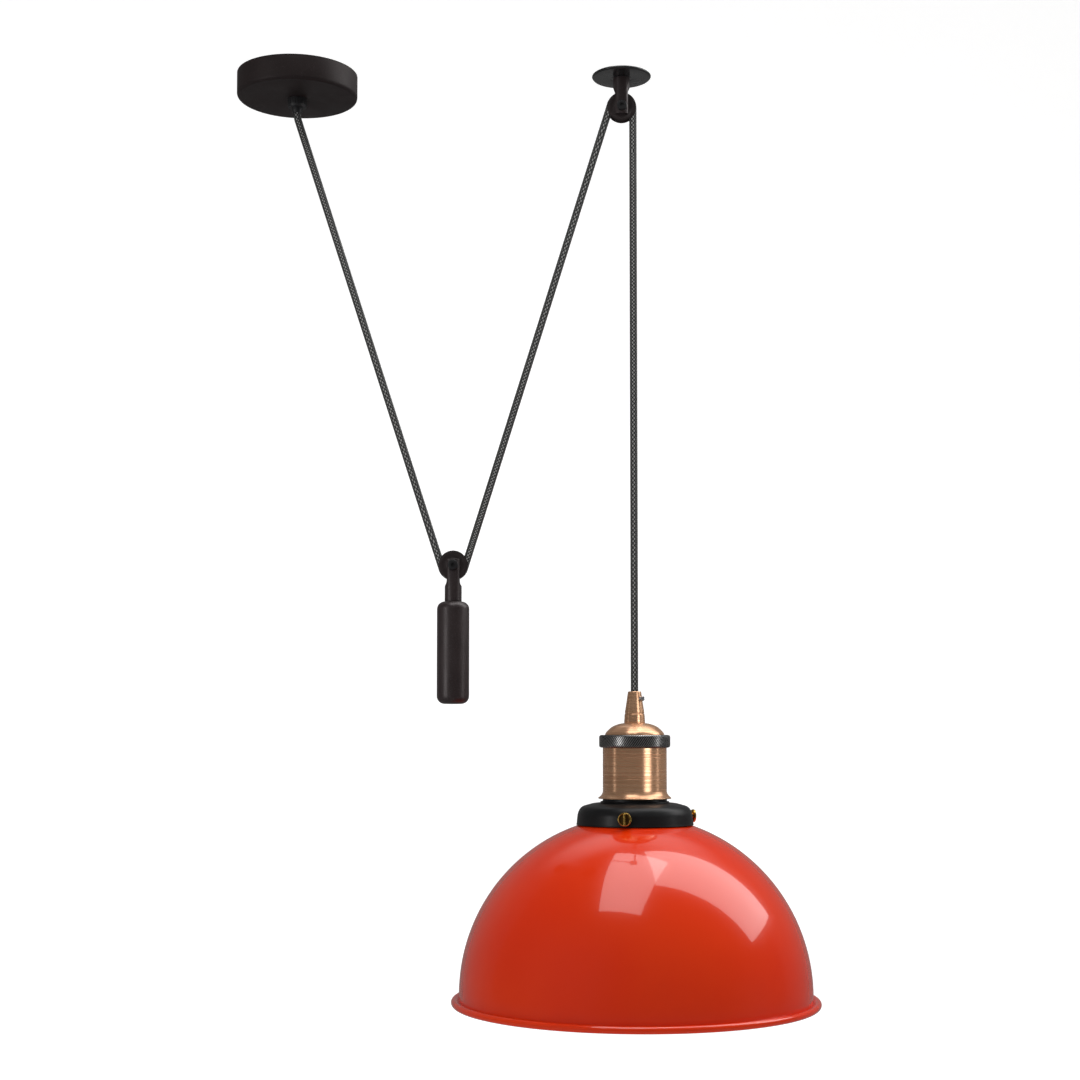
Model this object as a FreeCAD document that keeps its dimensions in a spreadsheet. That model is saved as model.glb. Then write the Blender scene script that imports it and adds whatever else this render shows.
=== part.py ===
import FreeCAD, Part
import math
import os
import Sketcher

# Rise and fall pendant: a lamp on a cord that runs from a ceiling rose, under the
# wheel of a hanging weight and over the wheel of a ceiling pulley.
# Millimetres, +Z up. The origin is the middle of the rose's face on the ceiling,
# +X points from the rose to the ceiling pulley and -Y to the viewer.

V = FreeCAD.Vector

SIZES = {
    # ceiling rose
    "rose_radius": 50.0,
    "rose_height": 20.4,
    "rose_wall": 1.5,
    "rose_edge_radius": 3.0,
    "bracket_thickness": 1.6,
    "bracket_width": 12.0,
    "bracket_ear": 13.0,
    "bracket_clearance": 0.3,
    "fixing_spacing": 60.0,
    "fixing_slot_width": 4.6,
    "fixing_slot_length": 11.0,
    "grub_radius": 1.5,
    "grub_length": 5.0,
    "grub_drop": 8.0,
    "block_start": 6.0,
    "block_length": 14.0,
    "block_width": 22.0,
    "block_height": 10.4,
    "way_pitch": 7.0,
    "terminal_spacing": 7.0,
    "terminal_radius": 1.7,
    "terminal_head": 1.0,
    "earth_screw_place": 14.0,
    "earth_head_radius": 3.75,
    "earth_head": 2.6,
    "earth_shank_radius": 2.0,
    "gland_radius": 8.0,
    "gland_height": 7.5,
    "gland_thread_radius": 5.0,
    "gland_thread_length": 5.8,
    "gland_nut_flats": 14.0,
    "gland_nut_height": 3.5,
    "gland_chamfer": 1.0,
    "collar_radius": 4.4,
    "collar_height": 4.7,
    "collar_chamfer": 0.5,
    # cord
    "cord_radius": 3.1,
    "cord_gap": 0.25,
    "cord_bend_radius": 20.0,
    "core_radius": 1.1,
    "core_offset": 1.75,
    "core_bend": 1.8,
    "core_straight": 3.2,
    "core_rise": 4.4,
    "earth_core_rise": 6.6,
    "core_end_gap": 0.05,
    "cord_start": 1.0,
    # pulleys
    "wheel_radius": 12.0,
    "wheel_width": 8.0,
    "wheel_cord_radius": 9.5,
    "groove_radius": 3.4,
    "rim_land": 0.5,
    "rim_bevel": 1.1,
    "rim_bevel_depth": 0.35,
    "bar_radius": 7.0,
    "slot_width": 9.2,
    "slot_end_height": 12.8,
    "seat_distance": 6.0,
    "seat_radius": 4.6,
    "axle_radius": 2.0,
    "axle_fit": 0.06,
    "axle_head_radius": 4.3,
    "axle_head": 2.2,
    "axle_head_chamfer": 0.6,
    "axle_end": 0.4,
    "axle_socket_flats": 3.2,
    "axle_socket_depth": 1.3,
    "axle_nut_flats": 7.4,
    "axle_nut": 2.2,
    "spacer_radius": 3.6,
    "spacer_thickness": 0.5,
    # ceiling pulley
    "pulley_distance": 271.2,
    "pulley_drop": 27.5,
    "plate_radius": 25.0,
    "plate_thickness": 2.6,
    "plate_bevel": 0.8,
    "stud_radius": 3.0,
    "stud_depth": 6.0,
    "ceiling_arm_end": 6.4,
    # travelling pulley and weight
    "weight_distance": 131.5,
    "travel_drop": 411.7,
    "travel_stem": 30.0,
    "travel_arm_end": 5.0,
    "weight_radius": 13.3,
    "weight_height": 84.2,
    "weight_shoulder": 6.3,
    "weight_foot": 6.5,
    "weight_bolt_radius": 3.0,
    "weight_bolt_grip": 9.0,
    "weight_head_radius": 5.0,
    "weight_head": 6.0,
    "weight_recess_radius": 5.8,
    "weight_recess_depth": 6.8,
    "weight_socket_flats": 5.0,
    # cord grip and holder
    "lamp_drop": 515.6,
    "grip_top_radius": 5.4,
    "grip_cone_radius": 8.0,
    "grip_cone_height": 17.6,
    "grip_groove": 0.9,
    "grip_base_radius": 8.6,
    "grip_height": 26.0,
    "grip_round": 0.8,
    "nipple_radius": 5.0,
    "nipple_grip": 8.0,
    "nipple_length": 14.0,
    "nipple_nut_flats": 14.0,
    "nipple_nut_height": 3.5,
    "set_screw_radius": 2.0,
    "set_screw_drop": 6.0,
    "set_screw_tip": 3.4,
    "set_screw_end": 9.0,
    "set_screw_azimuth": -38.0,
    "cap_radius": 24.5,
    "cap_height": 9.7,
    "cap_crown_radius": 15.0,
    "cap_crown_drop": 1.2,
    "cap_curve": 9.9,
    "cap_sheet": 1.5,
    "ring_radius": 29.2,
    "ring_height": 10.4,
    "ring_round": 1.8,
    "thread_gap": 0.2,
    "joint_depth": 5.0,
    "body_radius": 26.2,
    "body_height": 35.6,
    "body_sheet": 1.4,
    "flare_radius": 30.0,
    "flare_height": 6.0,
    "flare_lip": 0.8,
    "flare_sheet": 1.2,
    "flare_curve": 8.0,
    # socket
    "insulator_radius": 22.6,
    "insulator_drop": 44.0,
    "insulator_height": 24.0,
    "shell_bore_radius": 13.25,
    "shell_wall": 0.5,
    "shell_height": 26.0,
    "contact_radius": 3.5,
    "contact_height": 4.0,
    "contact_recess": 0.3,
    "sleeve_radius": 19.9,
    "sleeve_wall": 2.3,
    "sleeve_overhang": 3.0,
    "lamp_terminal_radius": 2.0,
    "lamp_terminal_head": 2.2,
    "lamp_terminal_circle": 14.0,
    "cord_end_drop": 34.0,
    # gallery
    "neck_radius": 26.3,
    "neck_height": 2.2,
    "neck_spigot_radius": 23.2,
    "gallery_lip_radius": 28.3,
    "gallery_crown_radius": 40.9,
    "gallery_crown_drop": 3.5,
    "gallery_side_radius": 46.9,
    "gallery_side_drop": 9.7,
    "gallery_radius": 47.9,
    "gallery_height": 19.2,
    "gallery_sheet": 1.5,
    "gallery_curve": 7.6,
    "lock_ring_radius": 27.0,
    "lock_ring_height": 5.5,
    # thumb screws
    "thumb_radius": 2.0,
    "thumb_drop": 12.6,
    "thumb_collar_radius": 4.2,
    "thumb_collar": 0.8,
    "thumb_waist_radius": 2.6,
    "thumb_waist": 2.0,
    "thumb_head_radius": 5.4,
    "thumb_head": 1.5,
    "thumb_blade": 1.4,
    "thumb_blade_width": 1.6,
    "thumb_blade_length": 9.7,
    "thumb_seat": 0.8,
    "thumb_azimuth": -102.0,
    "thumb_hole_gap": 0.1,
    # shade
    "dome_sheet": 1.0,
    "dome_seat_gap": 0.3,
    "shade_neck_radius": 43.2,
    "shade_neck_rise": 8.2,
    "shade_bead_radius": 44.6,
    "shade_bead": 1.4,
    "skirt_height": 6.6,
    "rim_roll_radius": 2.85,
    "rim_radius": 150.0,
    "rim_overhang": 6.4,
    "rim_notch": 0.8,
}


class Size:
    """A number together with the sheet expression that gives it."""

    def __init__(self, value, text):
        self.value = float(value)
        self.text = text

    def __add__(self, other):
        other = as_size(other)
        return Size(self.value + other.value, f"({self.text} + {other.text})")

    def __sub__(self, other):
        other = as_size(other)
        return Size(self.value - other.value, f"({self.text} - {other.text})")

    def __mul__(self, other):
        other = as_size(other)
        return Size(self.value * other.value, f"({self.text} * {other.text})")

    def __truediv__(self, other):
        other = as_size(other)
        return Size(self.value / other.value, f"({self.text} / {other.text})")

    def __radd__(self, other):
        return as_size(other) + self

    def __rsub__(self, other):
        return as_size(other) - self

    def __rmul__(self, other):
        return as_size(other) * self

    def __neg__(self):
        return Size(-self.value, f"(0 - {self.text})")


def as_size(number):
    if isinstance(number, Size):
        return number
    return Size(number, f"({float(number)!r})")


def root(size):
    return Size(math.sqrt(size.value), f"sqrt({size.text})")


def leg(long_side, short_side):
    """The other short side of a right triangle."""
    return root(long_side * long_side - short_side * short_side)


class Sheet:
    """The driving dimensions: each is read as an attribute and gives a Size."""

    def __init__(self, doc, values):
        self.sheet = doc.addObject("Spreadsheet::Sheet", "sizes")
        for row, (alias, value) in enumerate(values.items(), start=1):
            self.sheet.set(f"A{row}", alias)
            self.sheet.set(f"B{row}", str(value))
            self.sheet.setAlias(f"B{row}", alias)
        doc.recompute()

    def __getattr__(self, alias):
        return Size(self.sheet.get(alias), f"sizes.{alias}")


class Arc:
    """A round edge of an outline: side 1 bulges to the left of the way, -1 to the right."""

    def __init__(self, radius, side):
        self.radius = as_size(radius)
        self.side = side

    def middle(self, start, end):
        chord = end - start
        across = V(-chord.y, chord.x, 0).normalize()
        half = chord.Length / 2
        rise = self.radius.value - math.sqrt(max(self.radius.value**2 - half**2, 0))
        return (start + end) * 0.5 + across * (rise * self.side)


doc = FreeCAD.newDocument("rise_and_fall_pendant")
s = Sheet(doc, SIZES)
nodes = []


def bind(obj, name, size):
    size = as_size(size)
    setattr(obj, name, size.value)
    obj.setExpression(name, size.text)


def place(obj, at=(0, 0, 0), rotation=None):
    """Puts an object at a point given by sizes, turned by a rotation."""
    at = [as_size(c) for c in at]
    obj.Placement = FreeCAD.Placement(
        V(*[c.value for c in at]), rotation or FreeCAD.Rotation()
    )
    for axis, c in zip("xyz", at):
        obj.setExpression(f"Placement.Base.{axis}", c.text)
    return obj


def node(label, obj, at=(0, 0, 0), rotation=None):
    """Names a finished piece and puts it in its place."""
    place(obj, at, rotation)
    obj.Label = label
    nodes.append(obj)
    return obj


ALONG_X = FreeCAD.Rotation(V(0, 1, 0), 90)
ALONG_Y = FreeCAD.Rotation(V(1, 0, 0), -90)
HEAD_TO_FRONT = FreeCAD.Rotation(V(1, 0, 0), 90)
UPSIDE_DOWN = FreeCAD.Rotation(V(1, 0, 0), 180)


def outwards(azimuth):
    """The local Z axis turned level, to an azimuth in degrees, with local X upright."""
    turn = FreeCAD.Rotation(V(0, 0, 1), azimuth)
    return turn.multiply(FreeCAD.Rotation(V(0, 1, 0), 90))


def outline_sketch(body, plane_role, outline):
    """A closed outline of corners and arcs, each corner held by its two distances."""
    sketch = body.newObject("Sketcher::SketchObject", "outline")
    plane = next(f for f in body.Origin.OriginFeatures if f.Role == plane_role)
    sketch.AttachmentSupport = (plane, [""])
    sketch.MapMode = "FlatFace"
    corners = []
    arcs = {}
    for item in outline:
        if isinstance(item, Arc):
            arcs[len(corners) - 1] = item
        else:
            corners.append([as_size(c) for c in item])
    points = [V(x.value, y.value, 0) for x, y in corners]
    total = len(points)
    for k in range(total):
        start, end = points[k], points[(k + 1) % total]
        if k in arcs:
            sketch.addGeometry(Part.Arc(start, arcs[k].middle(start, end), end), False)
        else:
            sketch.addGeometry(Part.LineSegment(start, end), False)
    starts = []
    for k in range(total):
        at_one = (sketch.getPoint(k, 1) - points[k]).Length < 1e-6
        starts.append(1 if at_one else 2)
    joints = [
        Sketcher.Constraint("Coincident", k, 3 - starts[k], (k + 1) % total, starts[(k + 1) % total])
        for k in range(total)
    ]
    sketch.addConstraint(joints)
    for k, (x, y) in enumerate(corners):
        for kind, size, own_axis in (("DistanceX", x, -2), ("DistanceY", y, -1)):
            if size.value == 0:
                held = Sketcher.Constraint("PointOnObject", k, starts[k], own_axis)
                sketch.addConstraint(held)
            else:
                held = Sketcher.Constraint(kind, -1, 1, k, starts[k], size.value)
                index = sketch.addConstraint(held)
                sketch.setExpression(f"Constraints[{index}]", size.text)
    for k, arc in arcs.items():
        index = sketch.addConstraint(Sketcher.Constraint("Radius", k, arc.radius.value))
        sketch.setExpression(f"Constraints[{index}]", arc.radius.text)
    return sketch


def turned(outline):
    """A body turned about its local Z axis from an outline of radius and height."""
    body = doc.addObject("PartDesign::Body", "turned")
    sketch = outline_sketch(body, "XZ_Plane", outline)
    turn = body.newObject("PartDesign::Revolution", "turn")
    turn.Profile = (sketch, [""])
    turn.ReferenceAxis = (sketch, ["V_Axis"])
    turn.Angle = 360
    sketch.Visibility = False
    return body


def padded(outline, width):
    """A body with an outline in the XZ plane, as thick as width, half to each side."""
    body = doc.addObject("PartDesign::Body", "padded")
    sketch = outline_sketch(body, "XZ_Plane", outline)
    pad = body.newObject("PartDesign::Pad", "pad")
    pad.Profile = (sketch, [""])
    pad.Midplane = True
    bind(pad, "Length", width)
    return body


def cylinder(radius, length, at=(0, 0, 0), rotation=None):
    rod = doc.addObject("Part::Cylinder", "rod")
    bind(rod, "Radius", radius)
    bind(rod, "Height", length)
    return place(rod, at, rotation)


def block(length, width, height, at=(0, 0, 0)):
    """A box whose corner nearest to minus infinity lies at a point."""
    box = doc.addObject("Part::Box", "box")
    bind(box, "Length", length)
    bind(box, "Width", width)
    bind(box, "Height", height)
    return place(box, at)


def hexagon(flats, length, at=(0, 0, 0), rotation=None):
    prism = doc.addObject("Part::Prism", "hexagon")
    prism.Polygon = 6
    bind(prism, "Circumradius", as_size(flats) / math.sqrt(3))
    bind(prism, "Height", length)
    return place(prism, at, rotation)


def fused(*pieces):
    fuse = doc.addObject("Part::MultiFuse", "fused")
    fuse.Shapes = list(pieces)
    return fuse


def group(*pieces):
    """Like pieces that share a node, each still a solid of its own."""
    compound = doc.addObject("Part::Compound", "group")
    compound.Links = list(pieces)
    return compound


def cut(base, *tools):
    difference = doc.addObject("Part::Cut", "cut")
    difference.Base = base
    difference.Tool = tools[0] if len(tools) == 1 else fused(*tools)
    return difference


def tube_ring(outer, inner, height):
    """A plain ring that hangs down from its datum."""
    return turned([(inner, 0), (outer, 0), (outer, -height), (inner, -height)])


# ---------------------------------------------------------------- ceiling rose

cord_bore = s.cord_radius + s.cord_gap
bracket_reach = leg(s.rose_radius - s.rose_wall - s.bracket_clearance, s.bracket_width / 2)


def rose_cover():
    hole = s.gland_thread_radius + s.thread_gap
    inner = s.rose_radius - s.rose_wall
    straight = s.rose_height - s.rose_edge_radius
    flat = s.rose_radius - s.rose_edge_radius
    cup = turned([
        (hole, -s.rose_height),
        (flat, -s.rose_height),
        Arc(s.rose_edge_radius, -1),
        (s.rose_radius, -straight),
        (s.rose_radius, 0),
        (inner, 0),
        (inner, -straight),
        Arc(s.rose_edge_radius - s.rose_wall, 1),
        (flat, s.rose_wall - s.rose_height),
        (hole, s.rose_wall - s.rose_height),
    ])
    holes = cylinder(
        s.grub_radius + s.thread_gap / 2,
        2 * s.rose_radius + 2,
        (-s.rose_radius - 1, 0, -s.grub_drop),
        ALONG_X,
    )
    node("rose_cover", cut(cup, holes))


def rose_bracket():
    reach = bracket_reach
    thick = s.bracket_thickness
    strip = padded([
        (-reach, -s.bracket_ear),
        (-reach, 0),
        (reach, 0),
        (reach, -s.bracket_ear),
        (reach - thick, -s.bracket_ear),
        (reach - thick, -thick),
        (thick - reach, -thick),
        (thick - reach, -s.bracket_ear),
    ], s.bracket_width)
    grub_hole = s.grub_radius + s.thread_gap / 4
    earth_hole = s.earth_shank_radius + s.thread_gap / 4
    tools = [
        cylinder(grub_hole, 2 * reach + 2, (-reach - 1, 0, -s.grub_drop), ALONG_X),
        cylinder(earth_hole, thick + 2, (-s.earth_screw_place, 0, -thick - 1)),
    ]
    half = s.fixing_slot_length / 2 - s.fixing_slot_width / 2
    for side in (-1, 1):
        middle = side * s.fixing_spacing / 2
        tools.append(block(
            2 * half, s.fixing_slot_width, thick + 2,
            (middle - half, -s.fixing_slot_width / 2, -thick - 1),
        ))
        for end in (-1, 1):
            at = (middle + end * half, 0, -thick - 1)
            tools.append(cylinder(s.fixing_slot_width / 2, thick + 2, at))
    node("rose_bracket", cut(strip, *tools))


def rose_grub_screws():
    start = s.rose_radius - s.grub_length
    node("rose_grub_screws", group(
        cylinder(s.grub_radius, s.grub_length, (start, 0, -s.grub_drop), ALONG_X),
        cylinder(s.grub_radius, s.grub_length, (-s.rose_radius, 0, -s.grub_drop), ALONG_X),
    ))


def rose_terminals():
    top = -s.bracket_thickness
    body = block(s.block_length, s.block_width, s.block_height)
    node("rose_terminal_block", body, (s.block_start, -s.block_width / 2, top - s.block_height))
    middle = s.block_start + s.block_length / 2
    screws = []
    for end in (-1, 1):
        for way in (-1, 0, 1):
            along = middle + end * s.terminal_spacing / 2
            at = (along, way * s.way_pitch, top - s.block_height - s.terminal_head)
            screws.append(cylinder(s.terminal_radius, s.terminal_head, at))
    node("rose_terminal_screws", group(*screws))
    head = cylinder(s.earth_head_radius, s.earth_head, (0, 0, -s.earth_head))
    shank = cylinder(s.earth_shank_radius, s.bracket_thickness)
    node("rose_earth_screw", fused(head, shank), (-s.earth_screw_place, 0, top))


def gland():
    thread = s.gland_thread_radius
    under = -s.rose_height
    node("gland_body", turned([
        (cord_bore, s.gland_thread_length),
        (thread, s.gland_thread_length),
        (thread, 0),
        (s.gland_radius, 0),
        (s.gland_radius, s.gland_chamfer - s.gland_height),
        (s.gland_radius - s.gland_chamfer, -s.gland_height),
        (cord_bore, -s.gland_height),
    ]), (0, 0, under))
    node("gland_collar", turned([
        (cord_bore, 0),
        (s.collar_radius, 0),
        (s.collar_radius, s.collar_chamfer - s.collar_height),
        (s.collar_radius - s.collar_chamfer, -s.collar_height),
        (cord_bore, -s.collar_height),
    ]), (0, 0, under - s.gland_height))
    nut = cut(
        hexagon(s.gland_nut_flats, s.gland_nut_height),
        cylinder(thread + s.thread_gap / 4, s.gland_nut_height + 2, (0, 0, -1)),
    )
    node("gland_lock_nut", nut, (0, 0, under + s.rose_wall))


# --------------------------------------------------------------------- pulleys


def fork(label, stem, arm_end, thread_radius, thread_depth, at, rotation=None):
    """A round bar with a slot for the wheel. Its axle is at its datum, its stem above."""
    half_slot = s.slot_width / 2
    far = s.bar_radius + 2
    bar = cylinder(s.bar_radius, stem + arm_end, (0, 0, -arm_end))
    tools = [
        block(2 * far, s.slot_width, s.slot_end_height + arm_end + 1, (-far, -half_slot, -arm_end - 1)),
        cylinder(half_slot, 2 * far, (-far, 0, s.slot_end_height), ALONG_X),
        cylinder(s.axle_radius + s.axle_fit, 2 * far, (0, -far, 0), ALONG_Y),
        cylinder(s.seat_radius, far, (0, s.seat_distance, 0), ALONG_Y),
        cylinder(s.seat_radius, far, (0, -s.seat_distance - far, 0), ALONG_Y),
        cylinder(thread_radius, thread_depth + 1, (0, 0, stem - thread_depth)),
    ]
    node(label, cut(bar, *tools), at, rotation)


def wheel(label, at):
    half = s.wheel_width / 2
    bore = s.axle_radius + s.axle_fit
    land = half - s.rim_bevel_depth
    middle = s.wheel_cord_radius
    mouth = s.groove_radius
    node(label, turned([
        (bore, -half),
        (s.wheel_radius - s.rim_bevel, -half),
        (s.wheel_radius, -land),
        (s.wheel_radius - s.rim_land, -mouth),
        (middle, -mouth),
        Arc(s.groove_radius, 1),
        (middle - s.groove_radius, 0),
        Arc(s.groove_radius, 1),
        (middle, mouth),
        (s.wheel_radius - s.rim_land, mouth),
        (s.wheel_radius, land),
        (s.wheel_radius - s.rim_bevel, half),
        (bore, half),
    ]), at, HEAD_TO_FRONT)


def axle(prefix, at):
    """The bolt, its nut and the two spacers beside the wheel."""
    bore = s.axle_radius + s.axle_fit
    seat = s.seat_distance
    end = seat + s.axle_nut + s.axle_end
    bolt = turned([
        (0, seat + s.axle_head),
        (0, -end),
        (s.axle_radius, -end),
        (s.axle_radius, seat),
        (s.axle_head_radius, seat),
        (s.axle_head_radius, seat + s.axle_head - s.axle_head_chamfer),
        (s.axle_head_radius - s.axle_head_chamfer, seat + s.axle_head),
    ])
    socket = hexagon(
        s.axle_socket_flats, s.axle_socket_depth + 1, (0, 0, seat + s.axle_head - s.axle_socket_depth)
    )
    node(f"{prefix}_axle_bolt", cut(bolt, socket), at, HEAD_TO_FRONT)
    nut = cut(
        hexagon(s.axle_nut_flats, s.axle_nut, (0, 0, -seat - s.axle_nut)),
        cylinder(bore, s.axle_nut + 2, (0, 0, -seat - s.axle_nut - 1)),
    )
    node(f"{prefix}_axle_nut", nut, at, HEAD_TO_FRONT)
    spacers = []
    inner_face = s.slot_width / 2
    for start in (inner_face - s.spacer_thickness, -inner_face):
        disc = cylinder(s.spacer_radius, s.spacer_thickness, (0, 0, start))
        spacers.append(cut(disc, cylinder(bore, s.spacer_thickness + 2, (0, 0, start - 1))))
    node(f"{prefix}_spacers", group(*spacers), at, HEAD_TO_FRONT)


def ceiling_pulley():
    axis = (s.pulley_distance, 0, -s.pulley_drop)
    hole = s.stud_radius + s.thread_gap
    node("ceiling_plate", turned([
        (hole, 0),
        (s.plate_radius, 0),
        (s.plate_radius, s.plate_bevel - s.plate_thickness),
        (s.plate_radius - s.plate_bevel, -s.plate_thickness),
        (hole, -s.plate_thickness),
    ]), (s.pulley_distance, 0, 0))
    stem = s.pulley_drop - s.plate_thickness
    fork("ceiling_fork", stem, s.ceiling_arm_end, s.stud_radius, s.stud_depth, axis)
    wheel("ceiling_wheel", axis)
    axle("ceiling", axis)


def travelling_pulley():
    axis = (s.weight_distance, 0, -s.travel_drop)
    bore = s.weight_bolt_radius + s.thread_gap / 4
    fork(
        "travel_fork", s.travel_stem, s.travel_arm_end, bore, s.weight_bolt_grip + 1, axis, UPSIDE_DOWN
    )
    wheel("travel_wheel", axis)
    axle("travel", axis)


def weight():
    at = (s.weight_distance, 0, -s.travel_drop - s.travel_stem)
    hole = s.weight_bolt_radius + s.thread_gap
    foot = -s.weight_height
    recess = s.weight_recess_depth - s.weight_height
    node("weight_casing", turned([
        (hole, 0),
        (s.weight_radius - s.weight_shoulder, 0),
        Arc(s.weight_shoulder, 1),
        (s.weight_radius, -s.weight_shoulder),
        (s.weight_radius, foot + s.weight_foot),
        Arc(s.weight_foot, 1),
        (s.weight_radius - s.weight_foot, foot),
        (s.weight_recess_radius, foot),
        (s.weight_recess_radius, recess),
        (hole, recess),
    ]), at)
    bolt = turned([
        (0, s.weight_bolt_grip),
        (0, recess - s.weight_head),
        (s.weight_head_radius, recess - s.weight_head),
        (s.weight_head_radius, recess),
        (s.weight_bolt_radius, recess),
        (s.weight_bolt_radius, s.weight_bolt_grip),
    ])
    socket = hexagon(s.weight_socket_flats, s.weight_head / 2 + 1, (0, 0, recess - s.weight_head - 1))
    node("weight_bolt", cut(bolt, socket), at)


# ------------------------------------------------------------------------ lamp

lamp_x = s.pulley_distance + s.wheel_cord_radius
cap_top = s.lamp_drop + s.grip_height
ring_top = cap_top + s.cap_height
body_top = ring_top + s.ring_height
flare_top = body_top + s.body_height
neck_top = flare_top + s.flare_height
gallery_top = neck_top + s.neck_height


def cord_grip():
    at = (lamp_x, 0, -s.lamp_drop)
    thread = s.nipple_radius + s.thread_gap / 4
    inner_end = s.nipple_grip - s.grip_height
    groove_end = s.grip_cone_height + 1.5 * s.grip_groove
    grip = turned([
        (cord_bore, 0),
        (s.grip_top_radius - s.grip_round, 0),
        Arc(s.grip_round, 1),
        (s.grip_top_radius, -s.grip_round),
        (s.grip_cone_radius, -s.grip_cone_height),
        (s.grip_cone_radius - s.grip_groove / 3, -s.grip_cone_height - s.grip_groove),
        (s.grip_base_radius - s.grip_groove / 4, -groove_end),
        (s.grip_base_radius, -s.grip_height),
        (thread, -s.grip_height),
        (thread, inner_end),
        (cord_bore, inner_end),
    ])
    turn = outwards(s.set_screw_azimuth.value)
    hole = cylinder(
        s.set_screw_radius + s.thread_gap / 4, s.grip_base_radius * 2, (0, 0, -s.set_screw_drop), turn
    )
    node("cord_grip", cut(grip, hole), at)
    screw = cylinder(s.set_screw_radius, s.set_screw_end - s.set_screw_tip, (0, 0, s.set_screw_tip))
    slot = block(
        3 * s.set_screw_radius, s.set_screw_radius / 3, s.set_screw_radius,
        (-1.5 * s.set_screw_radius, -s.set_screw_radius / 6, s.set_screw_end - s.set_screw_radius / 2),
    )
    node("grip_set_screw", cut(screw, slot), (lamp_x, 0, -s.lamp_drop - s.set_screw_drop), turn)
    nipple = tube_ring(s.nipple_radius, cord_bore, s.nipple_length)
    node("grip_nipple", nipple, (lamp_x, 0, s.nipple_grip - cap_top))
    nut = cut(
        hexagon(s.nipple_nut_flats, s.nipple_nut_height),
        cylinder(thread, s.nipple_nut_height + 2, (0, 0, -1)),
    )
    node("nipple_lock_nut", nut, (lamp_x, 0, -cap_top - s.cap_sheet - s.nipple_nut_height))


def holder():
    hole = s.nipple_radius + s.thread_gap / 2
    sheet = s.cap_sheet
    cap_end = -s.cap_height - s.joint_depth
    node("holder_cap", turned([
        (hole, 0),
        (s.grip_base_radius, 0),
        (s.cap_crown_radius, -s.cap_crown_drop),
        Arc(s.cap_curve, 1),
        (s.cap_radius, -s.cap_height),
        (s.cap_radius, cap_end),
        (s.cap_radius - sheet, cap_end),
        (s.cap_radius - sheet, -s.cap_height),
        Arc(s.cap_curve - sheet, -1),
        (s.cap_crown_radius - sheet / 4, -s.cap_crown_drop - sheet),
        (s.grip_base_radius, -sheet),
        (hole, -sheet),
    ]), (lamp_x, 0, -cap_top))
    bore = s.cap_radius + s.thread_gap
    node("knurled_ring", turned([
        (bore, 0),
        (s.ring_radius - s.ring_round, 0),
        Arc(s.ring_round, 1),
        (s.ring_radius, -s.ring_round),
        (s.ring_radius, s.ring_round - s.ring_height),
        Arc(s.ring_round, 1),
        (s.ring_radius - s.ring_round, -s.ring_height),
        (bore, -s.ring_height),
    ]), (lamp_x, 0, -ring_top))
    wall = s.body_sheet
    neck_end = s.ring_height - s.joint_depth - s.thread_gap
    node("holder_body", turned([
        (s.cap_radius - wall, neck_end),
        (s.cap_radius, neck_end),
        (s.cap_radius, 0),
        (s.body_radius, 0),
        (s.body_radius, -s.body_height),
        (s.body_radius - wall, -s.body_height),
        (s.body_radius - wall, -wall),
        (s.cap_radius - wall, -wall),
    ]), (lamp_x, 0, -body_top))
    lip = s.flare_lip
    inner = s.body_radius - s.body_sheet - 2 * s.flare_sheet
    node("holder_flare", turned([
        (inner, 0),
        (s.body_radius, 0),
        Arc(s.flare_curve, 1),
        (s.flare_radius, lip - s.flare_height),
        (s.flare_radius, -s.flare_height),
        (s.flare_radius - s.flare_sheet, -s.flare_height),
        Arc(s.flare_curve + s.flare_sheet, -1),
        (s.body_radius - s.flare_sheet, -s.flare_sheet),
        (inner, -s.flare_sheet),
    ]), (lamp_x, 0, -flare_top))


def socket():
    top = s.lamp_drop + s.insulator_drop
    under = top + s.insulator_height
    pocket = s.contact_height + s.contact_recess
    insulator = cut(
        cylinder(s.insulator_radius, s.insulator_height),
        cylinder(s.contact_radius + s.thread_gap, pocket + 1, (0, 0, -1)),
    )
    node("insulator", insulator, (lamp_x, 0, -under))
    screws = []
    for angle in (90, 210, 330):
        turn = FreeCAD.Rotation(V(0, 0, 1), angle)
        arm = turn.multVec(V(1, 0, 0))
        at = (s.lamp_terminal_circle * arm.x, s.lamp_terminal_circle * arm.y, 0)
        screws.append(cylinder(s.lamp_terminal_radius, s.lamp_terminal_head, at))
    node("lamp_terminal_screws", group(*screws), (lamp_x, 0, -top))
    shell = tube_ring(s.shell_bore_radius + s.shell_wall, s.shell_bore_radius, s.shell_height)
    node("screw_shell", shell, (lamp_x, 0, -under))
    contact = cylinder(s.contact_radius, s.contact_height)
    node("centre_contact", contact, (lamp_x, 0, s.contact_recess - under))
    end = gallery_top + s.gallery_sheet + s.lock_ring_height + s.sleeve_overhang
    sleeve = tube_ring(s.sleeve_radius, s.sleeve_radius - s.sleeve_wall, end - under)
    node("socket_sleeve", sleeve, (lamp_x, 0, -under))


sleeve_clear = s.sleeve_radius + s.thread_gap


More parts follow.
